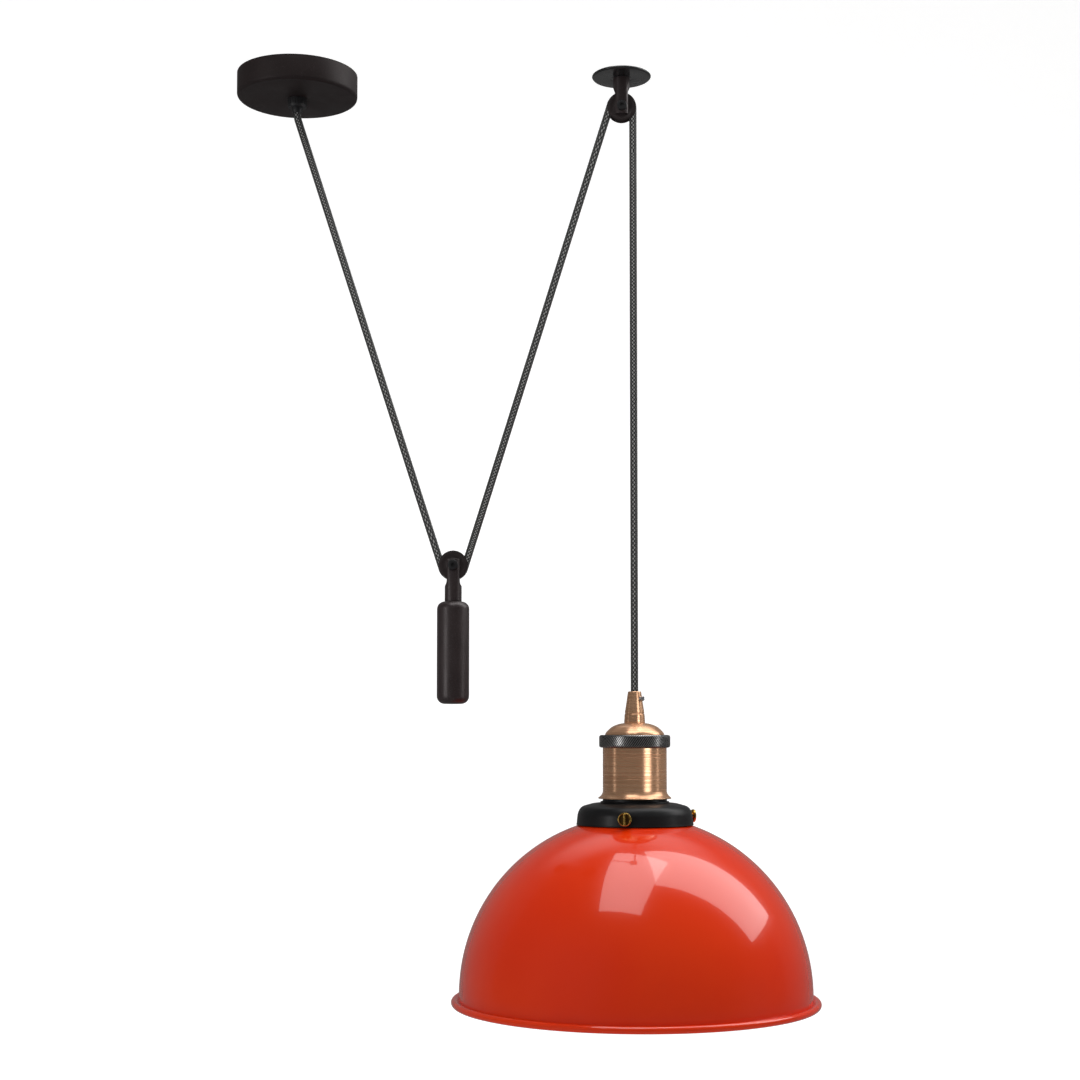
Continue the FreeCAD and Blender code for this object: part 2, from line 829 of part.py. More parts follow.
def thumb_screw(label, azimuth, tip, seat):
    """A brass screw that points inwards. Its datum is the gallery's axis."""
    collar = seat + s.thumb_collar
    waist = collar + s.thumb_waist
    end = waist + s.thumb_head
    stem = turned([
        (0, tip),
        (s.thumb_radius, tip),
        (s.thumb_radius, seat),
        (s.thumb_collar_radius, seat),
        (s.thumb_collar_radius, collar),
        (s.thumb_waist_radius, collar),
        (s.thumb_waist_radius, waist),
        (s.thumb_head_radius, waist),
        (s.thumb_head_radius, end),
        (0, end),
    ])
    long = s.thumb_blade_length
    root_depth = s.thumb_head / 8
    blade = block(
        long, s.thumb_blade_width, s.thumb_blade + root_depth,
        (-long / 2, -s.thumb_blade_width / 2, end - root_depth),
    )
    at = (lamp_x, 0, -gallery_top - s.thumb_drop)
    node(label, fused(stem, blade), at, outwards(azimuth))


def gallery():
    sheet = s.gallery_sheet
    neck = turned([
        (sleeve_clear, s.flare_height - s.flare_sheet),
        (s.neck_spigot_radius, s.flare_height - s.flare_sheet),
        (s.neck_spigot_radius, 0),
        (s.neck_radius, 0),
        (s.neck_radius, -s.neck_height),
        (sleeve_clear, -s.neck_height),
    ])
    node("neck_ring", neck, (lamp_x, 0, -neck_top))
    bell = turned([
        (sleeve_clear, 0),
        (s.gallery_lip_radius, 0),
        (s.gallery_crown_radius, -s.gallery_crown_drop),
        Arc(s.gallery_curve, 1),
        (s.gallery_side_radius, -s.gallery_side_drop),
        (s.gallery_radius, -s.gallery_height),
        (s.gallery_radius - sheet, -s.gallery_height),
        (s.gallery_side_radius - sheet, -s.gallery_side_drop),
        Arc(s.gallery_curve - sheet, -1),
        (s.gallery_crown_radius - sheet / 2, -s.gallery_crown_drop - sheet),
        (s.gallery_lip_radius - sheet / 8, -sheet),
        (sleeve_clear, -sheet),
    ])
    slope = (s.gallery_radius - s.gallery_side_radius) / (s.gallery_height - s.gallery_side_drop)
    wall_at_screw = s.gallery_side_radius + slope * (s.thumb_drop - s.gallery_side_drop)
    tip = s.shade_neck_radius + s.thumb_hole_gap
    hole_radius = s.thumb_radius + s.thumb_hole_gap
    azimuths = [s.thumb_azimuth.value + turn for turn in (0, 120, 240)]
    holes = [
        cylinder(hole_radius, s.gallery_radius + 2, (0, 0, -s.thumb_drop), outwards(azimuth))
        for azimuth in azimuths
    ]
    node("gallery", cut(bell, *holes), (lamp_x, 0, -gallery_top))
    lock_ring = tube_ring(s.lock_ring_radius, sleeve_clear, s.lock_ring_height)
    node("gallery_lock_ring", lock_ring, (lamp_x, 0, -gallery_top - sheet))
    for label, azimuth in zip(("front", "right", "left"), azimuths):
        thumb_screw(f"thumb_screw_{label}", azimuth, tip, wall_at_screw + s.thumb_seat)


def shade():
    sheet = s.dome_sheet
    seat_radius = s.gallery_radius - s.gallery_sheet
    outer = s.rim_radius - s.rim_overhang
    inner = outer - sheet
    centre = -s.gallery_height - s.dome_seat_gap - leg(outer, seat_radius)
    neck = s.shade_neck_radius
    neck_inner = neck - sheet
    neck_top_z = -s.shade_neck_rise
    roll = s.rim_roll_radius
    roll_middle = s.rim_radius - roll
    rim_level = centre - s.skirt_height
    notch = s.rim_notch
    roll_start = roll_middle - outer - notch
    roll_lift = leg(roll, roll_start)
    node("shade", turned([
        (neck_inner, neck_top_z),
        (s.shade_bead_radius, neck_top_z),
        (s.shade_bead_radius, neck_top_z - s.shade_bead),
        (neck, neck_top_z - s.shade_bead),
        (neck, centre + leg(outer, neck)),
        Arc(outer, 1),
        (outer, centre),
        (outer, rim_level + roll_lift + notch),
        (outer + notch, rim_level + roll_lift),
        Arc(roll, 1),
        (roll_middle, rim_level + roll),
        Arc(roll, 1),
        (s.rim_radius, rim_level),
        Arc(roll, 1),
        (roll_middle, rim_level - roll),
        (inner, rim_level - roll / 2),
        (inner, centre),
        Arc(inner, -1),
        (neck_inner, centre + leg(inner, neck_inner)),
    ]), (lamp_x, 0, -gallery_top))


# ----------------------------------------------------------------------- cords


def bent_path(points, radius):
    """Straight runs through a list of points, joined by tangent arcs."""
    edges = []
    start = points[0]
    for before, corner, after in zip(points, points[1:], points[2:]):
        back = (before - corner).normalize()
        ahead = (after - corner).normalize()
        half = back.getAngle(ahead) / 2
        reach = radius / math.tan(half)
        middle = (back + ahead).normalize() * (radius / math.sin(half) - radius)
        edges.append(Part.LineSegment(start, corner + back * reach).toShape())
        edges.append(Part.Arc(corner + back * reach, corner + middle, corner + ahead * reach).toShape())
        start = corner + ahead * reach
    edges.append(Part.LineSegment(start, points[-1]).toShape())
    return edges


def round_tube(label, edges, radius):
    """A solid tube along tangent edges, with its volume compared to section times length."""
    path = Part.Wire(edges)
    first = path.Edges[0]
    begin = first.FirstParameter
    profile = Part.Wire(Part.makeCircle(radius, first.valueAt(begin), first.tangentAt(begin)))
    solid = path.makePipeShell([profile], True, False)
    expected = math.pi * radius**2 * path.Length
    radii = [round(e.Curve.Radius, 2) for e in path.Edges if hasattr(e.Curve, "Radius")]
    ratio = solid.Volume / expected
    print(f"{label}: length {path.Length:.1f} mm, arc radii {radii}, volume ratio {ratio:.5f}")
    piece = doc.addObject("Part::Feature", "tube")
    piece.Shape = solid
    node(label, piece)


def wheel_point(centre, angle):
    """A point of the cord's middle line on a wheel, its angle measured from +X towards +Z."""
    radius = s.wheel_cord_radius.value
    return centre + V(radius * math.cos(angle), 0, radius * math.sin(angle))


def cords():
    bend = s.cord_bend_radius.value
    radius = s.wheel_cord_radius.value
    thick = s.cord_radius.value
    top = V(0, 0, (s.gland_thread_length - s.rose_height + s.cord_start).value)
    exit_level = -(s.rose_height + s.gland_height + s.collar_height).value
    travel = V(s.weight_distance.value, 0, -s.travel_drop.value)
    pulley = V(s.pulley_distance.value, 0, -s.pulley_drop.value)

    # the arc below the gland starts at its lower face and ends along the tangent to the
    # left side of the travelling wheel
    bend_middle = V(bend, 0, exit_level)
    span = travel - bend_middle
    first_turn = math.atan2(span.x, -span.z) + math.asin((bend - radius) / span.Length)
    half_turn = first_turn / 2
    arc_middle = bend_middle + V(-bend * math.cos(half_turn), 0, -bend * math.sin(half_turn))
    arc_end = bend_middle + V(-bend * math.cos(first_turn), 0, -bend * math.sin(first_turn))
    left = wheel_point(travel, math.pi + first_turn)

    # the second strand leaves the right side of the travelling wheel and meets the left
    # side of the ceiling wheel
    span = pulley - travel
    second_turn = math.atan2(span.x, span.z) - math.asin(2 * radius / span.Length)
    right = wheel_point(travel, -second_turn)
    upper_left = wheel_point(pulley, math.pi - second_turn)
    upper_right = wheel_point(pulley, 0)
    under = wheel_point(travel, (math.pi + first_turn - second_turn) / 2 + math.pi)
    over = wheel_point(pulley, (math.pi - second_turn) / 2)

    round_tube("cord_loop", [
        Part.LineSegment(top, V(0, 0, exit_level)).toShape(),
        Part.Arc(V(0, 0, exit_level), arc_middle, arc_end).toShape(),
        Part.LineSegment(arc_end, left).toShape(),
        Part.Arc(left, under, right).toShape(),
        Part.LineSegment(right, upper_left).toShape(),
    ], thick)
    round_tube("cord_over", [Part.Arc(upper_left, over, upper_right).toShape()], thick)
    drop_end = V(upper_right.x, 0, -(s.lamp_drop + s.cord_end_drop).value)
    round_tube("cord_drop", [Part.LineSegment(upper_right, drop_end).toShape()], thick)


def rose_cores():
    thick = s.core_radius.value
    off = s.core_offset.value
    bend = s.core_bend.value
    run = s.core_straight.value
    start = (s.gland_thread_length - s.rose_height + s.cord_start).value
    under = -s.bracket_thickness.value
    level = under - s.block_height.value / 2
    pitch = s.way_pitch.value
    entry = s.block_start.value
    for label, side in (("rose_live_core", -1), ("rose_neutral_core", 1)):
        round_tube(label, bent_path([
            V(0, side * off, start),
            V(0, side * off, start + s.core_rise.value),
            V(entry - run, side * pitch, level),
            V(entry, side * pitch, level),
        ], bend), thick)
    level = under - s.earth_head.value / 2
    end = s.earth_head_radius.value - s.earth_screw_place.value
    round_tube("rose_earth_core", bent_path([
        V(-off, 0, start),
        V(-off, 0, start + s.earth_core_rise.value),
        V(end + run, 0, level),
        V(end + s.core_end_gap.value, 0, level),
    ], bend), thick)


def lamp_cores():
    thick = s.core_radius.value
    off = s.core_offset.value
    run = s.core_straight.value
    start = -(s.lamp_drop + s.cord_end_drop).value
    level = -(s.lamp_drop + s.insulator_drop).value + thick + 2 * s.core_end_gap.value
    end = (s.lamp_terminal_circle - s.lamp_terminal_radius - s.core_end_gap).value
    middle = V(lamp_x.value, 0, 0)
    for label, angle in (("lamp_live_core", 90), ("lamp_neutral_core", 210), ("lamp_earth_core", 330)):
        out = FreeCAD.Rotation(V(0, 0, 1), angle).multVec(V(1, 0, 0))
        round_tube(label, bent_path([
            middle + out * off + V(0, 0, start),
            middle + out * off + V(0, 0, start - run),
            middle + out * (end - run) + V(0, 0, level),
            middle + out * end + V(0, 0, level),
        ], s.core_bend.value), thick)


rose_cover()
rose_bracket()
rose_grub_screws()
rose_terminals()
gland()
ceiling_pulley()
travelling_pulley()
weight()
cord_grip()
holder()
socket()
gallery()
shade()
cords()
rose_cores()
lamp_cores()

doc.recompute()
for obj in doc.Objects:
    if "Invalid" in obj.State or "Error" in obj.State:
        raise RuntimeError(f"{obj.Name} ({obj.Label}) failed: {obj.State}")
os.makedirs("parts", exist_ok=True)
for obj in nodes:
    shape = obj.Shape
    if shape.isNull() or not shape.isValid() or not shape.Solids:
        raise RuntimeError(f"{obj.Label} has no valid solid")
    shape.exportStep(f"parts/{obj.Label}.step")
print(f"{len(nodes)} nodes")
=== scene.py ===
import math

import bmesh
import bpy
from bpy.props import FloatProperty, FloatVectorProperty, IntProperty, PointerProperty
from mathutils import Matrix, Vector


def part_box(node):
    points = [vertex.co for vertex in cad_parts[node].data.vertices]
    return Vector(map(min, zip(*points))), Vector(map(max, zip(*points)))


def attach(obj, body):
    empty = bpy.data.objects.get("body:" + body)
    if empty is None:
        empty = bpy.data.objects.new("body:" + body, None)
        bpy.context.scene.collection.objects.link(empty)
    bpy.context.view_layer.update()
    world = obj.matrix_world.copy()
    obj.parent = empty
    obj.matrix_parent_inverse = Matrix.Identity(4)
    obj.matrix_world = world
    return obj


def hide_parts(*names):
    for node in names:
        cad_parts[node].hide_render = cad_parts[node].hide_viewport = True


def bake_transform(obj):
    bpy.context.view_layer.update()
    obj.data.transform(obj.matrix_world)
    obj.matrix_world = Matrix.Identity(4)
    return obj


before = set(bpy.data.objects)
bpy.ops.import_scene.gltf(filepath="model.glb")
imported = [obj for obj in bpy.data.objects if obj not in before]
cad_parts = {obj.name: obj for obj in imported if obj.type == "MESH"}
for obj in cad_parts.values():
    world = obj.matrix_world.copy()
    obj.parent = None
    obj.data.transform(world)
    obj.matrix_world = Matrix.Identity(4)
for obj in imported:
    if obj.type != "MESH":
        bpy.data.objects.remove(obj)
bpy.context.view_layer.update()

# Rise and fall pendant. Metres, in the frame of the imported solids: the origin is the
# middle of the rose's face on the ceiling, +X runs to the ceiling pulley, -Y to the viewer.

bl_info = {
    "name": "Rise and Fall Pendant",
    "version": (1, 0, 0),
    "blender": (4, 5, 0),
    "location": "3D View > Sidebar > Pendant",
    "description": "Builds a rise and fall pendant with its finishes and its stage",
    "category": "Object",
}

MM = 0.001
UP = Vector((0, 0, 1))
ORIGIN = Vector((0, 0, 0))
# turn local Z to lie along -Y, as the axles do, and along +X
AXLE_TURN = Matrix.Rotation(math.radians(90), 3, "X")
ACROSS = Matrix.Rotation(math.radians(90), 3, "Y")


def low(node):
    return Vector(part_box(node)[0])


def high(node):
    return Vector(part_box(node)[1])


def centre(node):
    return (low(node) + high(node)) / 2


def levels(node):
    """A node's lowest and highest z in mm."""
    return low(node).z / MM, high(node).z / MM


LAMP = Vector((centre("cord_drop").x, 0, 0))
CEILING_AXLE = centre("ceiling_axle_bolt")
TRAVEL_AXLE = centre("travel_axle_bolt")


# ------------------------------------------------------------------- properties


def length_property(name, description, default):
    return FloatProperty(name=name, description=description, default=default, subtype="DISTANCE")


def colour_property(name, description, default):
    return FloatVectorProperty(name=name, description=description, default=default, subtype="COLOR")


class PendantSizes(bpy.types.PropertyGroup):
    knurl_cells: IntProperty(
        name="Knurl cells", description="Diamonds round the knurled ring", default=98, min=40, max=200
    )
    knurl_depth: length_property("Knurl depth", "Height of a diamond", 0.55 * MM)
    braid_carriers: IntProperty(
        name="Braid carriers", description="Yarns one way round the cord", default=8, min=4, max=32
    )
    braid_pitch: length_property("Braid pitch", "Length of one full turn of a yarn", 27 * MM)
    thread_pitch: length_property("Socket thread pitch", "Rise of the round lamp thread", 3.6 * MM)
    camera_distance: length_property("Camera distance", "From the plane of the cord to the camera", 1.5)


class PendantFinishes(bpy.types.PropertyGroup):
    bronze: colour_property("Bronze", "Satin paint of rose, forks and weight", (0.030, 0.021, 0.021))
    enamel: colour_property("Enamel", "Outside of the shade", (0.74, 0.029, 0.001))
    lining: colour_property("Lining", "Inside of the shade", (0.86, 0.85, 0.82))
    copper: colour_property("Copper", "Brushed copper of the holder", (0.76, 0.44, 0.26))
    gunmetal: colour_property("Gunmetal", "Knurled ring", (0.10, 0.10, 0.105))
    black: colour_property("Black paint", "Gallery, plate and axles", (0.007, 0.007, 0.0075))
    brass: colour_property("Brass", "Thumb screws and contacts", (0.72, 0.46, 0.13))
    yarn_dark: colour_property("Dark yarn", "Black yarn of the braid", (0.008, 0.008, 0.009))
    yarn_light: colour_property("Light yarn", "Grey yarn of the braid", (0.46, 0.46, 0.45))


# ---------------------------------------------------------------- node helpers


class Nodes:
    """Short calls for a node tree."""

    def __init__(self, tree):
        self.tree = tree

    def add(self, kind, **settings):
        made = self.tree.nodes.new(kind)
        for name, value in settings.items():
            setattr(made, name, value)
        return made

    def link(self, source, target):
        self.tree.links.new(source, target)

    def feed(self, socket, value):
        if isinstance(value, bpy.types.NodeSocket):
            self.link(value, socket)
        else:
            socket.default_value = value

    def place(self):
        return self.add("ShaderNodeTexCoord").outputs["Object"]

    def math(self, operation, first, second=0.0):
        made = self.add("ShaderNodeMath", operation=operation)
        self.feed(made.inputs[0], first)
        self.feed(made.inputs[1], second)
        return made.outputs[0]

    def ramp(self, value, start, end, low_out=0.0, high_out=1.0):
        made = self.add("ShaderNodeMapRange", interpolation_type="SMOOTHSTEP")
        names = ("Value", "From Min", "From Max", "To Min", "To Max")
        for name, item in zip(names, (value, start, end, low_out, high_out)):
            self.feed(made.inputs[name], item)
        return made.outputs[0]

    def mix(self, factor, first, second):
        made = self.add("ShaderNodeMix", data_type="RGBA")
        self.feed(made.inputs["Factor"], factor)
        self.feed(made.inputs["A"], first)
        self.feed(made.inputs["B"], second)
        return made.outputs["Result"]

    def noise(self, vector, scale, detail=3.0):
        made = self.add("ShaderNodeTexNoise")
        self.link(vector, made.inputs["Vector"])
        self.feed(made.inputs["Scale"], scale)
        made.inputs["Detail"].default_value = detail
        return made.outputs["Fac"]

    def stretched(self, vector, scale):
        made = self.add("ShaderNodeMapping")
        self.link(vector, made.inputs["Vector"])
        made.inputs["Scale"].default_value = scale
        return made.outputs["Vector"]


def new_group(name, inputs, outputs):
    """A shader node group with float inputs (name, default) and outputs (name, kind)."""
    tree = bpy.data.node_groups.new(name, "ShaderNodeTree")
    for title, default in inputs:
        socket = tree.interface.new_socket(name=title, in_out="INPUT", socket_type="NodeSocketFloat")
        socket.default_value = default
    for title, kind in outputs:
        tree.interface.new_socket(name=title, in_out="OUTPUT", socket_type=kind)
    nodes = Nodes(tree)
    return tree, nodes, nodes.add("NodeGroupInput"), nodes.add("NodeGroupOutput")


def turning_lines():
    """Fine rings left by a lathe: a mask and a height that change with Z alone, broken a little."""
    tree, n, given, out = new_group(
        "Turning lines", [("Scale", 1.0), ("Break up", 0.15)],
        [("Mask", "NodeSocketFloat"), ("Height", "NodeSocketFloat")],
    )
    place = n.place()
    flat = n.stretched(place, (6.0, 6.0, 900.0))
    fine = n.noise(flat, given.outputs["Scale"], 4.0)
    broad = n.noise(n.stretched(place, (3.0, 3.0, 150.0)), 1.0, 2.0)
    patches = n.noise(place, 38.0)
    both = n.math("ADD", n.math("MULTIPLY", fine, 0.6), n.math("MULTIPLY", broad, 0.4))
    drift = n.math("MULTIPLY", n.math("SUBTRACT", patches, 0.5), given.outputs["Break up"])
    n.link(n.math("ADD", both, drift), out.inputs["Mask"])
    n.link(fine, out.inputs["Height"])
    return tree


def paint_grain():
    """The fine speckle of a satin sprayed coat, with broad soft patches."""
    tree, n, given, out = new_group(
        "Paint grain", [("Scale", 1400.0), ("Patch scale", 30.0)],
        [("Speckle", "NodeSocketFloat"), ("Patches", "NodeSocketFloat")],
    )
    place = n.place()
    n.link(n.noise(place, given.outputs["Scale"], 2.0), out.inputs["Speckle"])
    n.link(n.noise(place, given.outputs["Patch scale"], 4.0), out.inputs["Patches"])
    return tree


GROUPS = {}


def placed_group(n, name, build, **values):
    if name not in GROUPS:
        GROUPS[name] = build()
    made = n.add("ShaderNodeGroup", node_tree=GROUPS[name])
    for title, value in values.items():
        made.inputs[title.replace("_", " ")].default_value = value
    return made


def new_finish(name, **sockets):
    """A material with one Principled BSDF, whose plain values are set on its own sockets."""
    material = bpy.data.materials.new(name)
    material.use_nodes = True
    tree = material.node_tree
    tree.nodes.clear()
    n = Nodes(tree)
    shader = n.add("ShaderNodeBsdfPrincipled")
    surface = n.add("ShaderNodeOutputMaterial")
    n.link(shader.outputs["BSDF"], surface.inputs["Surface"])
    for title, value in sockets.items():
        shader.inputs[title.replace("_", " ")].default_value = value
    return material, n, shader


def colour(vector, scale=1.0):
    return tuple(min(c * scale, 1.0) for c in vector) + (1.0,)


def bump(n, shader, height, distance, strength=1.0):
    made = n.add("ShaderNodeBump")
    made.inputs["Distance"].default_value = distance
    made.inputs["Strength"].default_value = strength
    n.feed(made.inputs["Height"], height)
    n.link(made.outputs["Normal"], shader.inputs["Normal"])


def satin_paint(name, base, sheen_colour, roughness, metallic=0.0, **sockets):
    """Sprayed satin paint: speckled, a little cloudy."""
    material, n, shader = new_finish(name, Metallic=metallic, **sockets)
    grain = placed_group(n, "Paint grain", paint_grain)
    speckle = n.ramp(grain.outputs["Speckle"], 0.52, 0.72)
    cloud = n.ramp(grain.outputs["Patches"], 0.35, 0.7)
    tone = n.mix(n.math("MULTIPLY", speckle, 0.55), colour(base), colour(sheen_colour))
    n.link(n.mix(n.math("MULTIPLY", cloud, 0.35), tone, colour(base, 1.5)), shader.inputs["Base Color"])
    dull = n.ramp(grain.outputs["Patches"], 0.3, 0.7, roughness - 0.05, roughness + 0.06)
    n.link(dull, shader.inputs["Roughness"])
    bump(n, shader, grain.outputs["Speckle"], 0.02 * MM, 0.35)
    return material


def brushed_metal(name, base, dark, roughness, scale=1.0, **sockets):
    """Metal turned or brushed round its axis."""
    sockets.setdefault("Metallic", 1.0)
    material, n, shader = new_finish(name, **sockets)
    lines = placed_group(n, "Turning lines", turning_lines, Scale=scale)
    mask = n.ramp(lines.outputs["Mask"], 0.36, 0.64)
    n.link(n.mix(mask, colour(dark), colour(base)), shader.inputs["Base Color"])
    dull = n.ramp(lines.outputs["Mask"], 0.3, 0.7, roughness + 0.10, roughness - 0.05)
    n.link(dull, shader.inputs["Roughness"])
    bump(n, shader, lines.outputs["Height"], 0.02 * MM, 0.35)
    return material


def knurled_metal(base):
    """Dark metal with painted highlights on the points of its diamonds."""
    material, n, shader = new_finish("Gunmetal", Metallic=0.9)
    peak = n.add("ShaderNodeAttribute", attribute_name="peak").outputs["Fac"]
    grain = placed_group(n, "Paint grain", paint_grain)
    patchy = n.ramp(grain.outputs["Patches"], 0.2, 0.6, 0.5, 1.0)
    # painted highlight: the points of the diamonds are lightened, patchily, as glints
    peak_glints = n.math("MULTIPLY", n.ramp(peak, 0.45, 1.0), patchy)
    n.link(n.mix(peak_glints, colour(base, 0.5), (0.62, 0.61, 0.60, 1)), shader.inputs["Base Color"])
    n.link(n.ramp(grain.outputs["Speckle"], 0.3, 0.7, 0.36, 0.26), shader.inputs["Roughness"])
    return material


def braid_finish(sizes, finishes):
    """Two sets of yarns cross in a twill: one set black, the other grey. Each diamond of yarn is painted
    darker towards its edges, a painted shade between the yarns.
    """
    material, n, shader = new_finish(
        "Braided cord", Roughness=0.78, Specular_IOR_Level=0.2, Sheen_Weight=0.08, Sheen_Roughness=0.5
    )
    split = n.add("ShaderNodeSeparateXYZ")
    n.link(n.add("ShaderNodeUVMap", uv_map="Braid").outputs["UV"], split.inputs[0])
    around, along = split.outputs["X"], split.outputs["Y"]
    turns = n.math("DIVIDE", along, sizes.braid_pitch)
    carriers = float(sizes.braid_carriers)
    one_way = n.math("MULTIPLY", n.math("ADD", around, turns), carriers)
    other_way = n.math("MULTIPLY", n.math("SUBTRACT", around, turns), carriers)
    cell = n.math("ADD", n.math("FLOOR", one_way), n.math("FLOOR", other_way))
    over = n.math("GREATER_THAN", n.math("FLOORED_MODULO", cell, 4.0), 1.5)

    def ridge(position):
        across = n.math("ABSOLUTE", n.math("SUBTRACT", n.math("FRACT", position), 0.5))
        return n.ramp(across, 0.5, 0.12)

    # painted shade: the product of the two ridges darkens each diamond towards its edges
    first, second = ridge(one_way), ridge(other_way)
    crevice_shade = n.math("MULTIPLY", first, second)
    under = n.math("SUBTRACT", 1.0, over)
    height = n.math("ADD", n.math("MULTIPLY", first, under), n.math("MULTIPLY", second, over))
    fibre = n.noise(n.place(), 2600.0, 2.0)
    shown = n.math("ADD", over, n.math("MULTIPLY", under, 0.30))
    dust = n.ramp(fibre, 0.3, 0.62, 0.5, 1.0)
    # the share of grey yarn, with the painted shade between the yarns in it
    light = n.math("MULTIPLY", n.math("MULTIPLY", shown, crevice_shade), dust)
    yarn = n.mix(light, colour(finishes.yarn_dark), colour(finishes.yarn_light))
    n.link(yarn, shader.inputs["Base Color"])
    bump(n, shader, n.math("ADD", height, n.math("MULTIPLY", fibre, 0.25)), 0.22 * MM, 0.8)
    return material


FINISH = {}


def make_finishes():
    """Builds each material once. The keys are the names that the pieces use."""
    sizes = bpy.context.scene.pendant_sizes
    f = bpy.context.scene.pendant_finishes
    FINISH["bronze"] = satin_paint(
        "Satin bronze", f.bronze, (0.075, 0.058, 0.068), 0.40, 0.35, Coat_Weight=0.15, Coat_Roughness=0.35
    )
    # the rose's cover: the satin bronze and its speckle darkened to about half, a shaded copy of it that
    # paints shade on the rose
    FINISH["rose"] = satin_paint(
        "Bronze darkened for shade", tuple(0.55 * c for c in f.bronze), (0.034, 0.024, 0.026), 0.52, 0.2,
        Specular_IOR_Level=0.2,
    )
    FINISH["wheel"] = satin_paint("Wheel bronze", (0.024, 0.017, 0.017), (0.055, 0.045, 0.048), 0.44, 0.3)
    FINISH["black"] = satin_paint(
        "Satin black", f.black, (0.012, 0.012, 0.013), 0.36, 0.0, Specular_IOR_Level=0.22
    )
    FINISH["gloss_black"] = satin_paint(
        "Gloss black", f.black, (0.012, 0.012, 0.013), 0.22, 0.0, Coat_Weight=0.35, Coat_Roughness=0.08
    )
    FINISH["plastic"] = satin_paint("Black plastic", (0.009, 0.009, 0.010), (0.016, 0.016, 0.017), 0.5)
    FINISH["white_plastic"] = satin_paint("White plastic", (0.78, 0.77, 0.73), (0.84, 0.83, 0.8), 0.35)
    FINISH["porcelain"] = satin_paint(
        "Porcelain", (0.82, 0.81, 0.77), (0.86, 0.85, 0.83), 0.18, 0.0, Coat_Weight=0.6, Coat_Roughness=0.05
    )
    FINISH["copper"] = brushed_metal(
        "Brushed copper", f.copper, (0.56, 0.31, 0.175), 0.25, Metallic=0.72,
        Anisotropic=0.7, Anisotropic_Rotation=0.25,
    )
    FINISH["brass"] = brushed_metal("Polished brass", f.brass, (0.50, 0.30, 0.06), 0.20)
    # a darker copy of the brass, painted shade for the recess in the thumb screws' heads
    FINISH["shaded_brass"] = brushed_metal("Brass in painted shade", (0.16, 0.09, 0.025), (0.08, 0.045, 0.015), 0.38)
    FINISH["gunmetal"] = knurled_metal(f.gunmetal)
    FINISH["zinc"] = brushed_metal("Zinc steel", (0.62, 0.63, 0.65), (0.42, 0.43, 0.46), 0.28)
    FINISH["braid"] = braid_finish(sizes, f)
    FINISH["brown_core"] = satin_paint("Brown core", (0.07, 0.025, 0.012), (0.09, 0.035, 0.018), 0.45)
    FINISH["blue_core"] = satin_paint("Blue core", (0.01, 0.05, 0.30), (0.015, 0.07, 0.36), 0.45)
    FINISH["enamel"] = enamel("Orange enamel", f.enamel, (0.80, 0.047, 0.003))
    FINISH["lining"] = enamel("White enamel", f.lining, (0.9, 0.89, 0.87))
    FINISH["earth_core"] = striped_core()


def enamel(name, base, glow):
    """Vitreous gloss with a faint orange-peel surface."""
    material, n, shader = new_finish(
        name, Roughness=0.22, Coat_Weight=0.8, Coat_Roughness=0.03, Coat_IOR=1.5, Specular_IOR_Level=0.25
    )
    grain = placed_group(n, "Paint grain", paint_grain, Scale=320.0, Patch_scale=9.0)
    cloud = n.ramp(grain.outputs["Patches"], 0.3, 0.75)
    n.link(n.mix(n.math("MULTIPLY", cloud, 0.5), colour(base), colour(glow)), shader.inputs["Base Color"])
    bump(n, shader, grain.outputs["Speckle"], 0.015 * MM, 0.12)
    return material


def striped_core():
    """Green insulation with a yellow stripe each side."""
    material, n, shader = new_finish("Green and yellow core", Roughness=0.45)
    place = n.place()
    wave = n.add("ShaderNodeTexWave", wave_type="BANDS", bands_direction="Y")
    n.link(place, wave.inputs["Vector"])
    wave.inputs["Scale"].default_value = 70.0
    mask = n.ramp(wave.outputs["Fac"], 0.45, 0.55)
    n.link(n.mix(mask, (0.02, 0.16, 0.02, 1), (0.70, 0.55, 0.02, 1)), shader.inputs["Base Color"])
    return material


# ---------------------------------------------------------------- mesh helpers


def outline(*items):
    """Corners (radius, height) in mm. A third number rounds that corner by its radius."""
    corners = [(Vector((i[0], i[1], 0)) * MM, (i[2] if len(i) > 2 else 0) * MM) for i in items]
    made = []
    count = len(corners)
    for k, (corner, radius) in enumerate(corners):
        if radius == 0:
            made.append(corner)
            continue
        back = (corners[k - 1][0] - corner).normalized()
        ahead = (corners[(k + 1) % count][0] - corner).normalized()
        half = back.angle(ahead) / 2
        reach = radius / math.tan(half)
        middle = corner + (back + ahead).normalized() * (radius / math.sin(half))
        start = corner + back * reach - middle
        end = corner + ahead * reach - middle
        steps = max(3, round(math.degrees(math.pi - 2 * half) / 12))
        made += [middle + start.slerp(end, i / steps, end) * radius for i in range(steps + 1)]
    return made


def arc(middle, radius, start, end, steps):
    """Points of an arc in mm and degrees, from +radius towards +height."""
    angles = [math.radians(start + (end - start) * i / steps) for i in range(steps + 1)]
    return [
        Vector((middle[0] + radius * math.cos(a), middle[1] + radius * math.sin(a), 0)) * MM for a in angles
    ]


def lathe(points, steps=128, closed=True):
    """A turned form about local Z from points of radius and height."""
    bm = bmesh.new()
    verts = [bm.verts.new((max(p.x, 0), 0, p.y)) for p in points]
    edges = [bm.edges.new(pair) for pair in zip(verts, verts[1:])]
    if closed:
        edges.append(bm.edges.new((verts[-1], verts[0])))
    bmesh.ops.spin(
        bm, geom=verts + edges, cent=(0, 0, 0), axis=(0, 0, 1), dvec=(0, 0, 0),
        angle=2 * math.pi, steps=steps, use_merge=True,
    )
    bmesh.ops.remove_doubles(bm, verts=bm.verts, dist=1e-6)
    bmesh.ops.recalc_face_normals(bm, faces=bm.faces)
    return bm


